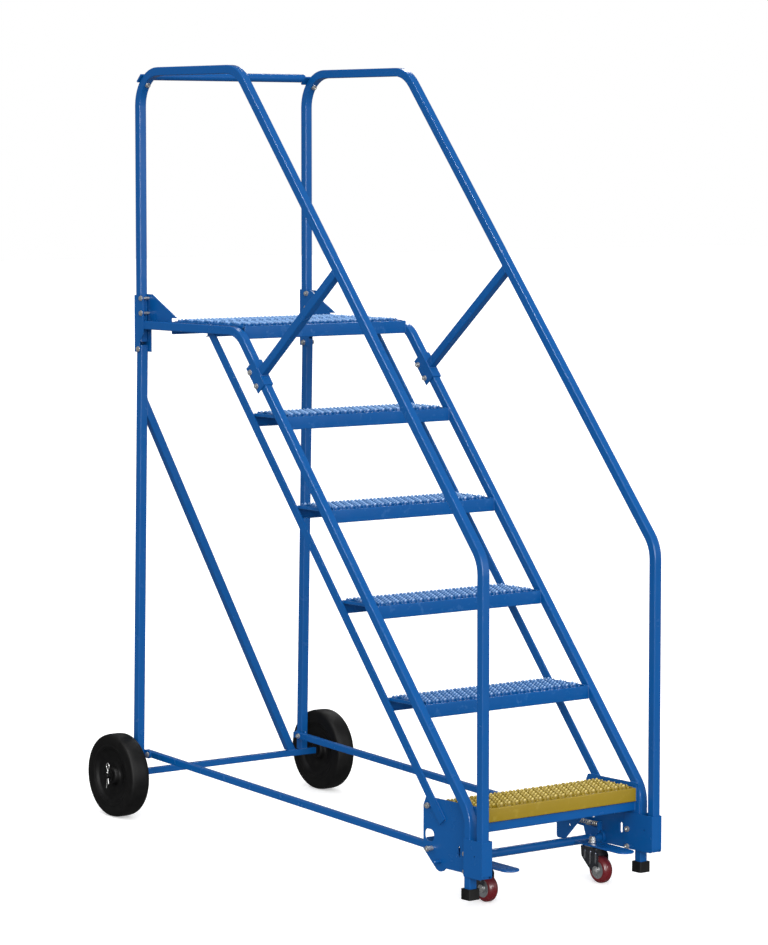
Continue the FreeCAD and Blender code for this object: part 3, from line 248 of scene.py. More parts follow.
# the tread blue has a stronger painted edge highlight and a painted highlight on the tips of its teeth
GRATING_BLUE = powder_coat("blue_powder_coat_tread", BLUE, (0.22, 0.48, 0.90, 1), 0.22, 0.10, 0.6,
                           (0.36, 0.60, 0.96, 1))
# the fork's steel made lighter on its beads: a painted highlight for the bright stripes along them
FLUTE_HIGHLIGHT_STEEL = plated("flutes_painted_highlight", (0.62, 0.64, 0.68, 1), 0.12, 0.6)
WELD_BLUE = powder_coat("blue_powder_coat_weld", BLUE, (0.03, 0.18, 0.5, 1), 0.38)


# ---- mesh helpers
WELD_APART = 1e-6
SHARP = math.radians(38)
CORNER_STEPS = 4


def piece(name, vertices, faces, material, body, upright=True, tips=None):
    """A smooth mesh, given in the upright frame or on the floor, which rides on a body."""
    mesh = bpy.data.meshes.new(name)
    placed = [UPRIGHT @ Vector(v) for v in vertices] if upright else [Vector(v) for v in vertices]
    mesh.from_pydata(placed, [], faces)
    if tips:
        mesh.attributes.new("tip", "FLOAT", "POINT").data.foreach_set("value", tips)
    bm = bmesh.new()
    bm.from_mesh(mesh)
    bmesh.ops.remove_doubles(bm, verts=bm.verts, dist=WELD_APART)
    bmesh.ops.recalc_face_normals(bm, faces=bm.faces)
    bm.to_mesh(mesh)
    bm.free()
    mesh.materials.append(material)
    made = bpy.data.objects.new(name, mesh)
    bpy.context.scene.collection.objects.link(made)
    for polygon in mesh.polygons:
        polygon.use_smooth = True
    mesh.set_sharp_from_angle(angle=SHARP)
    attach(made, body)
    return made


def joined_bodies(parts):
    """One list of vertices and faces out of several."""
    vertices, faces = [], []
    for part_vertices, part_faces in parts:
        start = len(vertices)
        vertices += part_vertices
        faces += [tuple(start + i for i in face) for face in part_faces]
    return vertices, faces


def held(value, low=0.0, high=1.0):
    """A value kept between two limits."""
    return max(low, min(high, value))


def round_corner(before, corner, after, radius):
    """The points of a soft bend in place of a corner."""
    back = (before - corner).normalized()
    ahead = (after - corner).normalized()
    shares = [n / CORNER_STEPS for n in range(CORNER_STEPS + 1)]
    return [corner + radius * ((1 - t) ** 2 * back + t ** 2 * ahead) for t in shares]


def rounded(points, radius):
    """An open run of 2-D points with each inner corner rounded."""
    points = [Vector(point) for point in points]
    out = [points[0]]
    for before, corner, after in zip(points, points[1:], points[2:]):
        out += round_corner(before, corner, after, radius)
    return out + [points[-1]]


def sheet_outline(points, thick):
    """A closed outline: a bent sheet drawn along its outer line, thick to the right of it."""
    inner = []
    for i, point in enumerate(points):
        before, after = points[max(i - 1, 0)], points[min(i + 1, len(points) - 1)]
        along = (after - before).normalized()
        inner.append(point + thick * Vector((along.y, -along.x)))
    return list(points) + inner[::-1]


def extruded(outline, low, high):
    """A Y-Z outline carried along X. Quads across its two matching halves close both ends."""
    count = len(outline)
    vertices = [(x, y, z) for x in (low, high) for y, z in outline]
    faces = [(i, (i + 1) % count, count + (i + 1) % count, count + i) for i in range(count)]
    for start in (0, count):
        faces += [(start + i, start + i + 1, start + count - 2 - i, start + count - 1 - i)
                  for i in range(count // 2 - 1)]
    return vertices, faces


def swept(path, radius, sides=8):
    """A round bar along points; radius is one number, or one for each point."""
    count = len(path)
    radii = radius if isinstance(radius, list) else [radius] * count
    vertices, faces = [], []
    normal = None
    for i, point in enumerate(path):
        before, after = path[max(i - 1, 0)], path[min(i + 1, count - 1)]
        along = (after - before).normalized()
        if normal is None:
            normal = along.orthogonal().normalized()
        normal = (normal - along * normal.dot(along)).normalized()
        across = along.cross(normal)
        for k in range(sides):
            turn = 2 * math.pi * k / sides
            vertices.append(point + radii[i] * (math.cos(turn) * normal + math.sin(turn) * across))
    for here in range(0, (count - 1) * sides, sides):
        there = here + sides
        faces += [(here + k, here + (k + 1) % sides, there + (k + 1) % sides, there + k)
                  for k in range(sides)]
    faces += [tuple(range(sides)), tuple(range((count - 1) * sides, count * sides))]
    return vertices, faces


def turned(shape, centre, direction, sides=48, closed=False):
    """A profile of (along, radius) turned about a direction; shape gives the profile at each angle."""
    direction = Vector(direction).normalized()
    first = direction.orthogonal().normalized()
    second = direction.cross(first)
    count = len(shape(0.0))
    vertices, faces = [], []
    for k in range(sides):
        turn = 2 * math.pi * k / sides
        spoke = math.cos(turn) * first + math.sin(turn) * second
        vertices += [Vector(centre) + direction * along + spoke * radius for along, radius in shape(turn)]
        here, there = k * count, (k + 1) % sides * count
        for i in range(count if closed else count - 1):
            j = (i + 1) % count
            faces.append((here + i, here + j, there + j, there + i))
    return vertices, faces


def plain(profile):
    """The same profile at every angle."""
    return lambda turn: profile


def arc_run(profile):
    """A closed profile whose corners with a third value are rounded to that radius."""
    out = []
    for i, point in enumerate(profile):
        corner = Vector(point[:2])
        if len(point) == 2:
            out.append(tuple(corner))
            continue
        before, after = Vector(profile[i - 1][:2]), Vector(profile[(i + 1) % len(profile)][:2])
        out += [tuple(bend) for bend in round_corner(before, corner, after, point[2])]
    return out


def mirrored(half):
    """A profile made whole from its low half."""
    return list(half) + [(-along, radius) for along, radius in reversed(half)]


# ---- treads: folded channels whose tops are an open grating of serrated strands
SHEET = 0.002
SHOULDER = 0.013     # plain deck along the front and rear edges
END_GAP = 0.0035     # from each end to the bar across it
RIB_TALL = 0.009     # the tips of the teeth above the deck
NODE_TALL = 0.003    # the strands above the deck where they meet
STRAND_STEP = 0.014
CELLS = 3            # openings from front to rear
TEETH = 6            # teeth along a strand, to each opening
CREST = 0.0036       # height of a tooth
TOOTH = ((0.0, 0.0), (0.3, 1.0), (0.5, 1.0), (0.84, 0.0))     # shares of its length and of its height


def strand(middle, side, deck, front, rear):
    """One zigzag strand from front to rear, with teeth along its top."""
    stations = [((tooth + at) / TEETH, tall) for tooth in range(CELLS * TEETH) for at, tall in TOOTH]
    stations.append((CELLS, 0.0))
    swing, half, overlap = (STRAND_STEP - SHEET) / 2, SHEET / 2, 0.002
    vertices, faces = [], []
    for at, tip in stations:
        wave = math.cos(2 * math.pi * at)
        rise = abs(math.sin(2 * math.pi * at)) ** 0.8
        x = middle + side * swing * held(1.35 * wave, -1.0)
        y = front - overlap + (rear - front + 2 * overlap) * at / CELLS
        foot = deck - 0.0075 + 0.0025 * rise
        top = deck + NODE_TALL + (RIB_TALL - NODE_TALL - CREST) * rise
        top += CREST * tip * (0.45 + 0.55 * rise)
        lean = side * 0.0012 * wave
        vertices += [(x - half + lean, y, foot), (x + half + lean, y, foot),
                     (x + half * 0.8 - lean, y, top), (x - half * 0.8 - lean, y, top)]
    last = len(vertices) - 4
    for start in range(0, last, 4):
        faces += [(start + k, start + (k + 1) % 4, start + 4 + (k + 1) % 4, start + 4 + k) for k in range(4)]
    faces += [(0, 1, 2, 3), (last, last + 1, last + 2, last + 3)]
    return vertices, faces


def grating(low, high, deck, front, rear):
    """Strands side by side that meet in pairs."""
    count = int((high - low - 0.012) / STRAND_STEP)
    first = (low + high) / 2 - (count - 1) * STRAND_STEP / 2
    return [strand(first + n * STRAND_STEP, 1 if n % 2 else -1, deck, front, rear) for n in range(count)]


def tread(node, material):
    """Two rounded channel edges, the grating between them and a bar across each end."""
    low, high = upright_box(node)
    deck, foot = high.z - RIB_TALL, low.z + 0.0002
    front, rear = low.y + SHOULDER, high.y - SHOULDER
    parts = []
    for edge, inward in ((low.y, 1), (high.y, -1)):
        run = [(edge + inward * 0.011, foot), (edge, foot), (edge, deck),
               (edge + inward * SHOULDER, deck), (edge + inward * (SHOULDER + 0.001), deck - 0.004)]
        outline = sheet_outline(rounded(run, 0.0028), SHEET * inward)
        parts.append(extruded(outline, low.x, high.x))
    parts += grating(low.x, high.x, deck, front, rear)
    bar = [(front - 0.001, deck - 0.007), (rear + 0.001, deck - 0.007),
           (rear + 0.001, deck + 0.002), (front - 0.001, deck + 0.002)]
    for near in (low.x + END_GAP, high.x - END_GAP - SHEET):
        parts.append(extruded(bar, near, near + SHEET))
    vertices, faces = joined_bodies(parts)
    # height above the strands' meeting points, which sets where the painted highlight on the teeth goes
    tips = [max(0.0, (v[2] - deck - NODE_TALL) / (RIB_TALL - NODE_TALL)) for v in vertices]
    made = piece(f"{node}_grating", vertices, faces, material, "frame", tips=tips)
    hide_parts(node)


for tread_node in ("step_2", "step_3", "step_4", "step_5", "platform_front_plank", "platform_rear_plank"):
    tread(tread_node, GRATING_BLUE)
tread("bottom_step", MATERIALS["yellow_paint"])


# ---- springs that press the casters down
def coil_spring(side):
    """A wound wire whose end coils lie closer."""
    low, high = upright_box(f"{side}_spring")
    wire = 0.0012
    turns, steps = 14, 20
    centre = (low + high) / 2
    radius = (high.x - low.x) / 2 - wire
    first, length = low.y + wire, high.y - low.y - 2 * wire
    path = []
    for i in range(turns * steps + 1):
        share = i / (turns * steps)
        eased = 0.5 - 0.5 * math.cos(math.pi * held((share - 0.05) / 0.90))
        along = 0.35 * eased + 0.65 * held((share - 0.04) / 0.92)
        angle = 2 * math.pi * i / steps
        path.append(Vector((centre.x + radius * math.cos(angle), first + length * along,
                            centre.z + radius * math.sin(angle))))
    vertices, faces = swept(path, wire)
    made = piece(f"{side}_coil_spring", vertices, faces, MATERIALS["spring_steel"], "frame")
    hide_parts(f"{side}_spring")
    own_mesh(made)


for spring_side in ("left", "right"):
    coil_spring(spring_side)


# ---- hexagon bolts, nuts and washers
THREAD = 0.00125     # from one ridge to the next
THREADED = 0.013     # the stretch of a bolt that has ridges
CORNERS = 0.0075     # from the middle of a hexagon to its corners
HEAD = 0.0053
SHANK = 0.004
LEDGE = 0.0013       # where a head or a nut meets its washer


def islands(node):
    """The separate solids of a CAD node, each as an array of points on the floor's frame."""
    mesh = frame["nodes"][node].data
    owner, groups, seen = {}, {}, []
    for vertex in mesh.vertices:
        owner.setdefault(tuple(round(c, 5) for c in vertex.co), len(owner))
        seen.append(owner[tuple(round(c, 5) for c in vertex.co)])
    root = list(range(len(owner)))

    def find(i):
        while root[i] != i:
            root[i] = root[root[i]]
            i = root[i]
        return i

    for polygon in mesh.polygons:
        for vertex in polygon.vertices[1:]:
            root[find(seen[vertex])] = find(seen[polygon.vertices[0]])
    for i, vertex in enumerate(mesh.vertices):
        groups.setdefault(find(seen[i]), []).append(tuple(vertex.co))
    return [np.array(points) for points in groups.values()]


def hexagon(turn, corners):
    """A hexagon's radius at an angle, the drop of its chamfer there, and the radius of its flat end."""
    flat = corners * math.cos(math.radians(30))
    radius = flat / math.cos((turn % (math.pi / 3)) - math.pi / 6)
    return radius, (radius - 0.97 * flat) * 0.6, 0.95 * flat


def washer(centre, direction, low, inner, outer):
    """A thin ring that starts at low along the direction."""
    high = low + 0.0012
    profile = arc_run([(low, inner), (low, outer, 0.0004), (high, outer, 0.0004), (high, inner)])
    return turned(plain(profile), centre, direction, 40, closed=True)


def threads(low, high, radius):
    """Ridges of a screw thread from low to high."""
    count = int((high - low) / THREAD)
    return [(low + THREAD * (i + at), radius - deep) for i in range(count)
            for at, deep in ((0.0, 0.0), (0.35, 0.00005), (0.5, 0.00055), (0.85, 0.00055))]


def bolt_mesh(centre, direction, length):
    """A hex bolt whose head lies below the washer at along = 0 and whose tip is at length."""
    def shape(turn):
        wide, drop, top = hexagon(turn, CORNERS)
        groove = HEAD - 0.0003
        return ([(-HEAD, 0.0), (-HEAD, top * 0.55), (-groove, top * 0.6), (-groove, top * 0.93),
                 (-HEAD + 0.0002, top), (-HEAD + 0.0002 + drop, wide), (-0.0016, wide), (-LEDGE, top),
                 (-LEDGE, SHANK), (length - THREADED, SHANK)]
                + threads(length - THREADED, length - 0.001, SHANK)
                + [(length - 0.0008, SHANK), (length, SHANK - 0.0009), (length, 0.0)])
    ring = washer(centre, direction, -LEDGE, SHANK + 0.0002, CORNERS * 1.12)
    return joined_bodies([turned(shape, centre, direction, 36), ring])


def nut_mesh(centre, direction, corners, tall, bore):
    """A hex nut that stands on its washer, with a chamfer inside its far end."""
    def shape(turn):
        wide, drop, top = hexagon(turn, corners)
        return [(LEDGE, bore), (LEDGE, top), (LEDGE + drop, wide), (tall - drop, wide), (tall, top),
                (tall, bore + 0.0008), (tall - 0.0006, bore)]
    ring = washer(centre, direction, 0.0, bore, corners * 1.12)
    return joined_bodies([turned(shape, centre, direction, 36, closed=True), ring])


def reach(points, middle, direction):
    """How far each point lies along a line through the middle, and how far away from it."""
    along = (points - middle) @ direction
    away = np.linalg.norm(points - middle - along[:, None] * direction, axis=1)
    return along, away


def bolt_line(points):
    """The middle of a plain bolt, and the direction from its head to its tip."""
    middle = (points.max(0) + points.min(0)) / 2
    direction = np.linalg.svd(points - points.mean(0))[2][0]
    along, away = reach(points, middle, direction)
    if away[along > 0].max() > away[along < 0].max():
        direction = -direction
    return middle, direction


def frame_fasteners():
    """Detailed bolts and nuts in the places of the plain ones. A nut lies along its nearest bolt."""
    bolts, nuts, lines = [], [], []
    for points in islands("frame_bolts"):
        middle, direction = bolt_line(points)
        along, away = reach(points, middle, direction)
        under_head = along[away > SHANK + 0.0015].min() + HEAD
        start = middle + direction * under_head
        lines.append((start, direction))
        bolts.append(bolt_mesh(start, direction, along.max() - under_head))
    for points in islands("frame_nuts"):
        middle = (points.max(0) + points.min(0)) / 2
        gap = [np.linalg.norm(np.cross(middle - start, direction)) for start, direction in lines]
        direction = lines[int(np.argmin(gap))][1]
        along, _ = reach(points, middle, direction)
        foot = middle + direction * along.min()
        nuts.append(nut_mesh(foot, direction, CORNERS, np.ptp(along), SHANK + 0.0001))
    for name, node, group in (("hex_bolts", "frame_bolts", bolts), ("hex_nuts", "frame_nuts", nuts)):
        vertices, faces = joined_bodies(group)
        made = piece(name, vertices, faces, MATERIALS["zinc"], "frame", upright=False)
        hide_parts(node)


frame_fasteners()


# ---- rear wheels
RIM = 0.086          # where the tyre meets the hub


def solid_tyre(side, centre, half, outer):
    """Two beads by the rim, a flat wall and a shoulder that rounds over into the tread."""
    beads = [(0.0030, 0.0), (0.0006, 0.003), (0.0, 0.0065), (0.0012, 0.0095), (0.0004, 0.012), (0.0, 0.022)]
    shoulder = [(0.0002, 0.0100), (0.0009, 0.0072), (0.0026, 0.0046), (0.0052, 0.0027),
                (0.0085, 0.0015), (0.0140, 0.0005), (0.0190, 0.0)]
    wall = [(-0.021, RIM)]
    wall += [(inset - half, RIM + out) for inset, out in beads]
    wall += [(inset - half, outer - drop) for inset, drop in shoulder]
    wall.append((-0.005, outer))
    vertices, faces = turned(plain(mirrored(wall)), centre, (1, 0, 0), 128, closed=True)
    made = piece(f"{side}_solid_tyre", vertices, faces, MATERIALS["tyre_rubber"], f"{side}_wheel",
                 upright=False)
    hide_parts(f"{side}_tyre")


def dished_hub(side, centre, half):
    """A pressed disc: a boss at the bore, a deep ring round it and steps out to the rim."""
    bore, boss = 0.0082, 0.020
    dish = [(0.003 - half, bore), (0.003 - half, boss, 0.001), (0.0045 - half, 0.0255, 0.003),
            (-0.0135, 0.0290, 0.003), (-0.0095, 0.0370, 0.004), (-0.0095, 0.0450, 0.004),
            (-0.0125, 0.0520, 0.003), (-0.0130, 0.0590, 0.003), (-0.0175, 0.0700, 0.004),
            (-0.0185, 0.0760, 0.003), (0.0065 - half, 0.0830, 0.003), (0.0045 - half, RIM)]
    vertices, faces = turned(plain(mirrored(arc_run(dish))), centre, (1, 0, 0), 128, closed=True)
    made = piece(f"{side}_dished_hub", vertices, faces, MATERIALS["wheel_hub"], f"{side}_wheel",
                 upright=False)
    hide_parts(f"{side}_hub")


for wheel_side in ("left", "right"):
    wheel_low, wheel_high = (Vector(v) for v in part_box(f"{wheel_side}_tyre"))
    wheel_centre = (wheel_low + wheel_high) / 2
    wheel_half = (wheel_high.x - wheel_low.x) / 2
    solid_tyre(wheel_side, wheel_centre, wheel_half, (wheel_high.z - wheel_low.z) / 2)
    dished_hub(wheel_side, wheel_centre, wheel_half)


# ---- split pins at the ends of the axle rod
def split_pins():
    """Each has an eye above the rod and two legs that spread below it, one longer than the other."""
    wire, apart, spread, neck = 0.00138, 0.0013, 0.005, -0.026
    parts = []
    for points in islands("cotter_pins"):
        low, high = points.min(0), points.max(0)
        eye = Vector(((low[0] + high[0]) / 2, (low[1] + high[1]) / 2, high[2] - 0.0065))
        for hand, foot in ((1, low[2] - 0.012), (-1, low[2] + 0.002)):
            leg = foot - eye.z - neck
            run = [(0.0072 * math.sin(turn), 0.0092 * math.cos(turn))
                   for turn in np.radians(range(0, 150, 15))]
            run += [(apart, -0.0105), (apart, neck)]
            run += [(apart + spread * t * t, neck + leg * t) for t in (0.25, 0.5, 0.75, 1.0)]
            path = [eye + Vector((0, hand * across, up)) for across, up in run]
            parts.append(swept(path, wire, 10))
    vertices, faces = joined_bodies(parts)
    made = piece("split_pins", vertices, faces, MATERIALS["zinc"], "frame", upright=False)
    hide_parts("cotter_pins")


split_pins()


# ---- casters and what holds them
def vertical_bead(x, y, high, low):
    """A soft-ended upright bead pressed out of a cheek, wider than it stands out."""
    radius, squeeze, steps = 0.0032, 0.42, 14
    path = [Vector((x, y, high + (low - high) * n / steps)) for n in range(steps + 1)]
    radii = [radius * math.sin(math.pi / 2 * held(min(n, steps - n) / 2.5, 0.04)) for n in range(steps + 1)]
    vertices, faces = swept(path, radii, 12)
    return [Vector((x + (v.x - x) * squeeze, v.y, v.z)) for v in vertices], faces


def fork_flutes(side):
    """Three beads on each cheek of the fork."""
    low, high = (Vector(v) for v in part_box(f"{side}_caster_fork"))
    deep, tall = high.y - low.y, high.z - low.z
    beads = []
    for x in (low.x, high.x):
        for share, foot in ((0.27, 0.52), (0.57, 0.70), (0.88, 0.62)):
            beads.append(vertical_bead(x, high.y - share * deep, high.z - 0.007, high.z - foot * tall))
    vertices, faces = joined_bodies(beads)
    # the beads take the lighter steel, a painted highlight
    piece(f"{side}_fork_flutes", vertices, faces, FLUTE_HIGHLIGHT_STEEL, f"{side}_swivel", upright=False)


def domed_hex(cheek, tip):
    """The profile of a domed hexagon from the fork's cheek to its tip."""
    def shape(turn):
        wide, drop, top = hexagon(turn, 0.0066)
        return [(cheek, wide), (tip - 0.0016 - drop, wide), (tip - 0.0014, top), (tip - 0.0005, 0.0034),
                (tip, 0.0015), (tip, 0.0)]
    return shape


def caster_bolt(side):
    """The wheel's axle, with a washer and a domed hexagon at each end."""
    low, high = (Vector(v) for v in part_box(f"{side}_caster_axle"))
    centre = (low + high) / 2
    centre.x -= 0.0005     # one end stands a little further out than the other
    cheek, shank, tip = 0.0206, 0.0039, (high.x - low.x) / 2
    bar = [(-cheek, 0.0), (-cheek, shank), (cheek, shank), (cheek, 0.0)]
    parts = [turned(plain(bar), centre, (1, 0, 0))]
    for outward in ((-1, 0, 0), (1, 0, 0)):
        parts.append(washer(centre, outward, cheek, shank, 0.0115))
        parts.append(turned(domed_hex(cheek, tip), centre, outward, 36))
    vertices, faces = joined_bodies(parts)
    made = piece(f"{side}_caster_bolt", vertices, faces, MATERIALS["zinc"], f"{side}_swivel",
                 upright=False)
    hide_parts(f"{side}_caster_axle")


def kingpins():
    """Swivel races under the pedals, with the studs and nuts that hold them."""
    up, plate, long_nut = (0, 0, 1), 0.0051, 0.0095
    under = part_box("left_pedal")[0][2]
    race = arc_run([(-0.0002, 0.005), (-0.0002, 0.0215, 0.0006), (-0.0016, 0.0220, 0.0004),
                    (-0.0022, 0.0205, 0.0004), (-0.0030, 0.0205, 0.0004), (-0.0036, 0.0220, 0.0004),
                    (-0.0050, 0.0212, 0.0008), (-0.0050, 0.005)])
    parts = []
    for points in islands("caster_kingpins"):
        low, high = points.min(0), points.max(0)
        centre = Vector(((low[0] + high[0]) / 2, (low[1] + high[1]) / 2, under))
        top, foot = high[2] - under, low[2] - under
        stud = [(foot, 0.0), (foot, 0.0082), (foot + 0.0008, 0.009), (foot + 0.004, 0.009),
                (foot + 0.0045, 0.0058), (plate, 0.0058)]
        stud += threads(plate, top - 0.001, 0.006)
        stud += [(top, 0.0051), (top, 0.0)]
        parts.append(turned(plain(race), centre, up, 64, closed=True))
        parts.append(turned(plain(stud), centre, up, 36))
        parts.append(nut_mesh(centre + Vector((0, 0, plate)), up, 0.010, long_nut, 0.0059))
        parts.append(nut_mesh(centre + Vector((0, 0, plate + long_nut)), up, 0.0095, 0.0065, 0.0059))
    vertices, faces = joined_bodies(parts)
    made = piece("caster_races", vertices, faces, MATERIALS["zinc"], "rocker", upright=False)
    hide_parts("caster_kingpins")


for caster_side in ("left", "right"):
    fork_flutes(caster_side)
    caster_bolt(caster_side)
kingpins()


# ---- foot pedals with rolled edges
def pedal(side):
    """A plate with a round nose and rolled edges, built up in layers of one outline."""
    low, high = (Vector(v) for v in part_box(f"{side}_pedal"))
    half, middle = (high.x - low.x) / 2, (low.x + high.x) / 2
    nose, roll, layers = 0.0275, 0.0022, 9
    outline = [(half, high.y), (half, low.y + nose)]
    outline += [(half - nose + nose * math.cos(a), low.y + nose - nose * math.sin(a))
                for a in np.linspace(0.1, math.pi / 2, 9)]
    outline += [(-x, y) for x, y in reversed(outline)]
    count = len(outline)
    vertices = []
    for angle in np.linspace(0, math.pi, layers):
        inset, rise = roll * (1 - math.sin(angle)), roll * (1 - math.cos(angle))
        if angle > math.pi / 2:
            rise += high.z - low.z - 2 * roll
        for i, (x, y) in enumerate(outline):
            before, after = Vector(outline[i - 1]), Vector(outline[(i + 1) % count])
            along = (after - before).normalized()
            vertices.append((middle + x + inset * along.y, y - inset * along.x, low.z + rise))
    faces = []
    for start in range(0, (layers - 1) * count, count):
        faces += [(start + i, start + (i + 1) % count, start + count + (i + 1) % count, start + count + i)
                  for i in range(count)]
    for start in (0, (layers - 1) * count):
        faces += [(start + i, start + i + 1, start + count - 2 - i, start + count - 1 - i)
                  for i in range(count // 2 - 1)]
    made = piece(f"{side}_foot_pedal", vertices, faces, MATERIALS["blue_paint"], "rocker",
                 upright=False)
    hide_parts(f"{side}_pedal")


for pedal_side in ("left", "right"):
    pedal(pedal_side)


# ---- weld beads, laid where the sharp edges of one piece run along the face of another
BEAD = 0.0019
BEAD_STEP = 0.0009
TOUCHING = 0.0006
SHORTEST = 5         # points in the shortest run that gets a bead


def sharp_chains(node):
    """Runs of points along the sharp edges of a CAD node."""
    bm = bmesh.new()
    bm.from_mesh(frame["nodes"][node].data)
    bmesh.ops.remove_doubles(bm, verts=bm.verts, dist=1e-5)
    links = {}
    for edge in bm.edges:
        if len(edge.link_faces) == 2 and edge.calc_face_angle(0.0) > 0.6:
            first, second = edge.verts
            links.setdefault(first.index, set()).add(second.index)
            links.setdefault(second.index, set()).add(first.index)
    place = {v.index: v.co.copy() for v in bm.verts}
    bm.free()
    chains = []
    while links:
        here = next((i for i in links if len(links[i]) != 2), next(iter(links)))
        chain = [here]
        while links.get(here):
            there = min(links[here])
            if len(chain) > 1:
                along = (place[here] - place[chain[-2]]).normalized()
                there = max(links[here], key=lambda i: along.dot((place[i] - place[here]).normalized()))
                if along.dot((place[there] - place[here]).normalized()) < 0.3:
                    break
            links[here].discard(there)
            links[there].discard(here)
            chain.append(there)
            here = there
        links = {i: others for i, others in links.items() if others}
        chains.append([place[i] for i in chain])
    return chains


def evenly(points, step):
    """Points set out at even steps along a run."""
    out, spare = [points[0]], 0.0
    for start, end in zip(points, points[1:]):
        length = (end - start).length
        at = step - spare
        while at <= length:
            out.append(start.lerp(end, at / length))
            at += step
        spare = length - (at - step)
    return out


def seams(node, others):
    """Stretches of a node's sharp edges that lie on the faces of the other nodes."""
    trees = []
    for other in others:
        mesh = frame["nodes"][other].data
        trees.append(BVHTree.FromPolygons([v.co for v in mesh.vertices], [p.vertices for p in mesh.polygons]))
    found = []
    for chain in sharp_chains(node):
        run = []
        for point in evenly(chain, BEAD_STEP) + [None]:
            near = point is not None and any(tree.find_nearest(point, TOUCHING)[0] for tree in trees)
            if near:
                run.append(point)
                continue
            if len(run) > SHORTEST:
                found.append(run)
            run = []
    return found


def bead(run):
    """A rippled bead along a run, with rounded ends."""
    last = len(run) - 1
    radii = []
    for n in range(last + 1):
        end = min(1.0, (min(n, last - n) + 0.4) / 3)
        radii.append(BEAD * math.sin(math.pi / 2 * end) * (1 + 0.13 * math.cos(2 * math.pi * n / 3)))
    return swept(run, radii, 8)


def welds(name, body, joints):
    """One piece out of all the beads on a body."""
    parts = [bead(run) for node, others in joints for run in seams(node, others)]
    vertices, faces = joined_bodies(parts)
    piece(name, vertices, faces, WELD_BLUE, body, upright=False)


def frame_joints():
    """Each welded node of the frame, with the nodes that it is welded to."""
    rails = ["left_stringer", "right_stringer", "left_step_bar", "right_step_bar"]
    joints = [(f"step_{n}", rails) for n in (2, 3, 4, 5)]
    joints += [("bottom_step", rails + ["left_side_plate", "right_side_plate"]),
               ("platform_front_plank", rails), ("platform_rear_plank", rails),
               ("cross_channel", ["left_side_plate", "right_side_plate"]),
               ("leg_diagonal", ["left_leg", "axle_tube"]),
               ("shaft_hanger", ["cross_channel", "bottom_step"])]
    for side in ("left", "right"):
        joints += [(f"{side}_handrail_brace", [f"{side}_handrail", f"{side}_brace_bracket"]),
                   (f"{side}_side_plate", [f"{side}_stringer", f"{side}_step_bar"]),
                   (f"{side}_step_bar", [f"{side}_side_plate", f"{side}_stringer"]),
                   (f"{side}_leg", ["axle_tube"])]
    return joints


welds("frame_welds", "frame", frame_joints())
welds("rocker_welds", "rocker", [("lever_arms", ["rocker_shaft"]), ("left_pedal", ["rocker_shaft"]),
                                 ("right_pedal", ["rocker_shaft"])])


# ---- every CAD node that shows gets its own material
def paint_nodes():
    """Each node takes the material of the slot that the record gives it."""
    for part in frame["record"]["subparts"]:
        materials = frame["nodes"][part["node"]].data.materials
        materials.clear()
        materials.append(MATERIALS[part["material_slot"]])


paint_nodes()


# ---- floor, light and camera
def pale_floor():
    """A wide floor that glows a little, and that the ladder neither mirrors nor is lit by."""
    bpy.ops.mesh.primitive_plane_add(size=60, location=(0, 0, 0))
    floor = bpy.context.object
    floor.name = "floor"
    paint = new_material("pale_floor", 0.45, specular=0.3)
    g = Graph(paint)
    cloud = g.ramp(g.noise(1.2, 3), 0.3, 0.7)
    g.feed(g.shader.inputs["Base Color"], g.mix(cloud, (0.86, 0.86, 0.86, 1), (0.88, 0.88, 0.88, 1)))
    g.shader.inputs["Emission Color"].default_value = (1, 1, 1, 1)
    g.shader.inputs["Emission Strength"].default_value = 0.42
    floor.data.materials.append(paint)
    floor.visible_glossy = False
    floor.visible_diffuse = False


def studio_sky():
    """White all round and darker from below; dim in reflections, full where it is seen itself."""
    world = bpy.data.worlds.new("studio")
    bpy.context.scene.world = world
    world.use_nodes = True
    nodes, links = world.node_tree.nodes, world.node_tree.links
    height = nodes.new("ShaderNodeSeparateXYZ")
    links.new(nodes.new("ShaderNodeTexCoord").outputs["Generated"], height.inputs[0])
    sky = nodes.new("ShaderNodeMapRange")
    links.new(height.outputs["Z"], sky.inputs["Value"])
    for socket, value in (("From Min", -0.35), ("From Max", 0.25), ("To Min", 0.52), ("To Max", 1.05)):
        sky.inputs[socket].default_value = value
    links.new(sky.outputs["Result"], nodes["Background"].inputs["Color"])
    nodes["Background"].inputs["Strength"].default_value = 1.0
    shader = nodes["Background"].outputs[0]
    path = nodes.new("ShaderNodeLightPath")
    for ray, strength in (("Is Glossy Ray", 0.14), ("Is Camera Ray", 1.0)):
        other = nodes.new("ShaderNodeBackground")
        other.inputs["Strength"].default_value = strength
        other.inputs["Color"].default_value = (1, 1, 1, 1)
        mix = nodes.new("ShaderNodeMixShader")
        links.new(path.outputs[ray], mix.inputs[0])
        links.new(shader, mix.inputs[1])
        links.new(other.outputs[0], mix.inputs[2])
        shader = mix.outputs[0]
    links.new(shader, nodes["World Output"].inputs["Surface"])


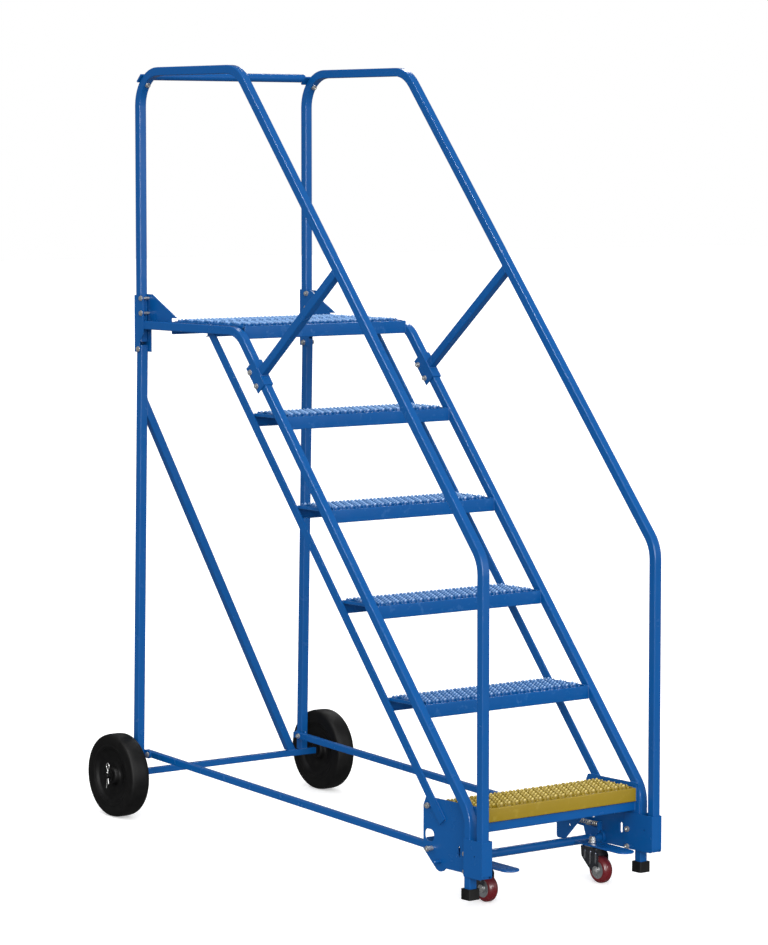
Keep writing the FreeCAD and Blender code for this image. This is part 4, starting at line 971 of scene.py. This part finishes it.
def sun(name, toward, strength, spread):
    """Soft parallel light that comes from the direction toward."""
    data = bpy.data.lights.new(name, "SUN")
    data.energy = strength
    data.angle = math.radians(spread)
    light = bpy.data.objects.new(name, data)
    light.rotation_mode = "QUATERNION"
    light.rotation_quaternion = Vector(toward).to_track_quat("Z", "Y")
    bpy.context.scene.collection.objects.link(light)


def highlight_panel(name, place, target, size, power):
    """A lamp that shows only as a reflection, along the rounded corners of the tubes and the teeth."""
    data = bpy.data.lights.new(name, "AREA")
    data.shape = "RECTANGLE"
    data.size, data.size_y = size
    data.energy = power
    light = bpy.data.objects.new(name, data)
    light.location = place
    light.rotation_mode = "QUATERNION"
    light.rotation_quaternion = (Vector(target) - Vector(place)).to_track_quat("-Z", "Y")
    light.visible_diffuse = False
    light.visible_camera = False
    bpy.context.scene.collection.objects.link(light)


def camera():
    """Looks at the ladder from its front left, a little above it, from far off."""
    heading, dip = math.radians(38.05), math.radians(5.026)
    place = Vector((-6.4996, -9.0961, 2.0165))
    data = bpy.data.cameras.new("camera")
    data.lens = 138.0
    data.sensor_width = 36.0
    data.clip_end = 100
    aim = Matrix.Rotation(-heading, 4, "Z") @ Matrix.Rotation(math.pi / 2 - dip, 4, "X")
    eye = bpy.data.objects.new("camera", data)
    eye.matrix_world = Matrix.Translation(UPRIGHT @ place) @ TURN @ aim
    bpy.context.scene.collection.objects.link(eye)
    bpy.context.scene.camera = eye


MIDDLE = (0, 0, 1.0)
pale_floor()
studio_sky()
sun("key", (-1.7, -2.9, 1.7), 1.9, 50)
sun("top", (0.2, 0.6, 4.0), 0.25, 70)
highlight_panel("overhead", (-1.7, -2.1, 7.4), MIDDLE, (1.1, 1.1), 560)
highlight_panel("far_panel", (4.9, 4.3, 5.6), MIDDLE, (1.3, 1.3), 110)
highlight_panel("front_strip", (-6.6, -6.0, 2.2), MIDDLE, (0.35, 3.6), 1000)
highlight_panel("side_strip", (2.6, -7.8, 3.2), MIDDLE, (0.35, 3.4), 700)
camera()
bpy.context.scene.view_settings.view_transform = "Standard"
bpy.context.scene.render.film_transparent = False
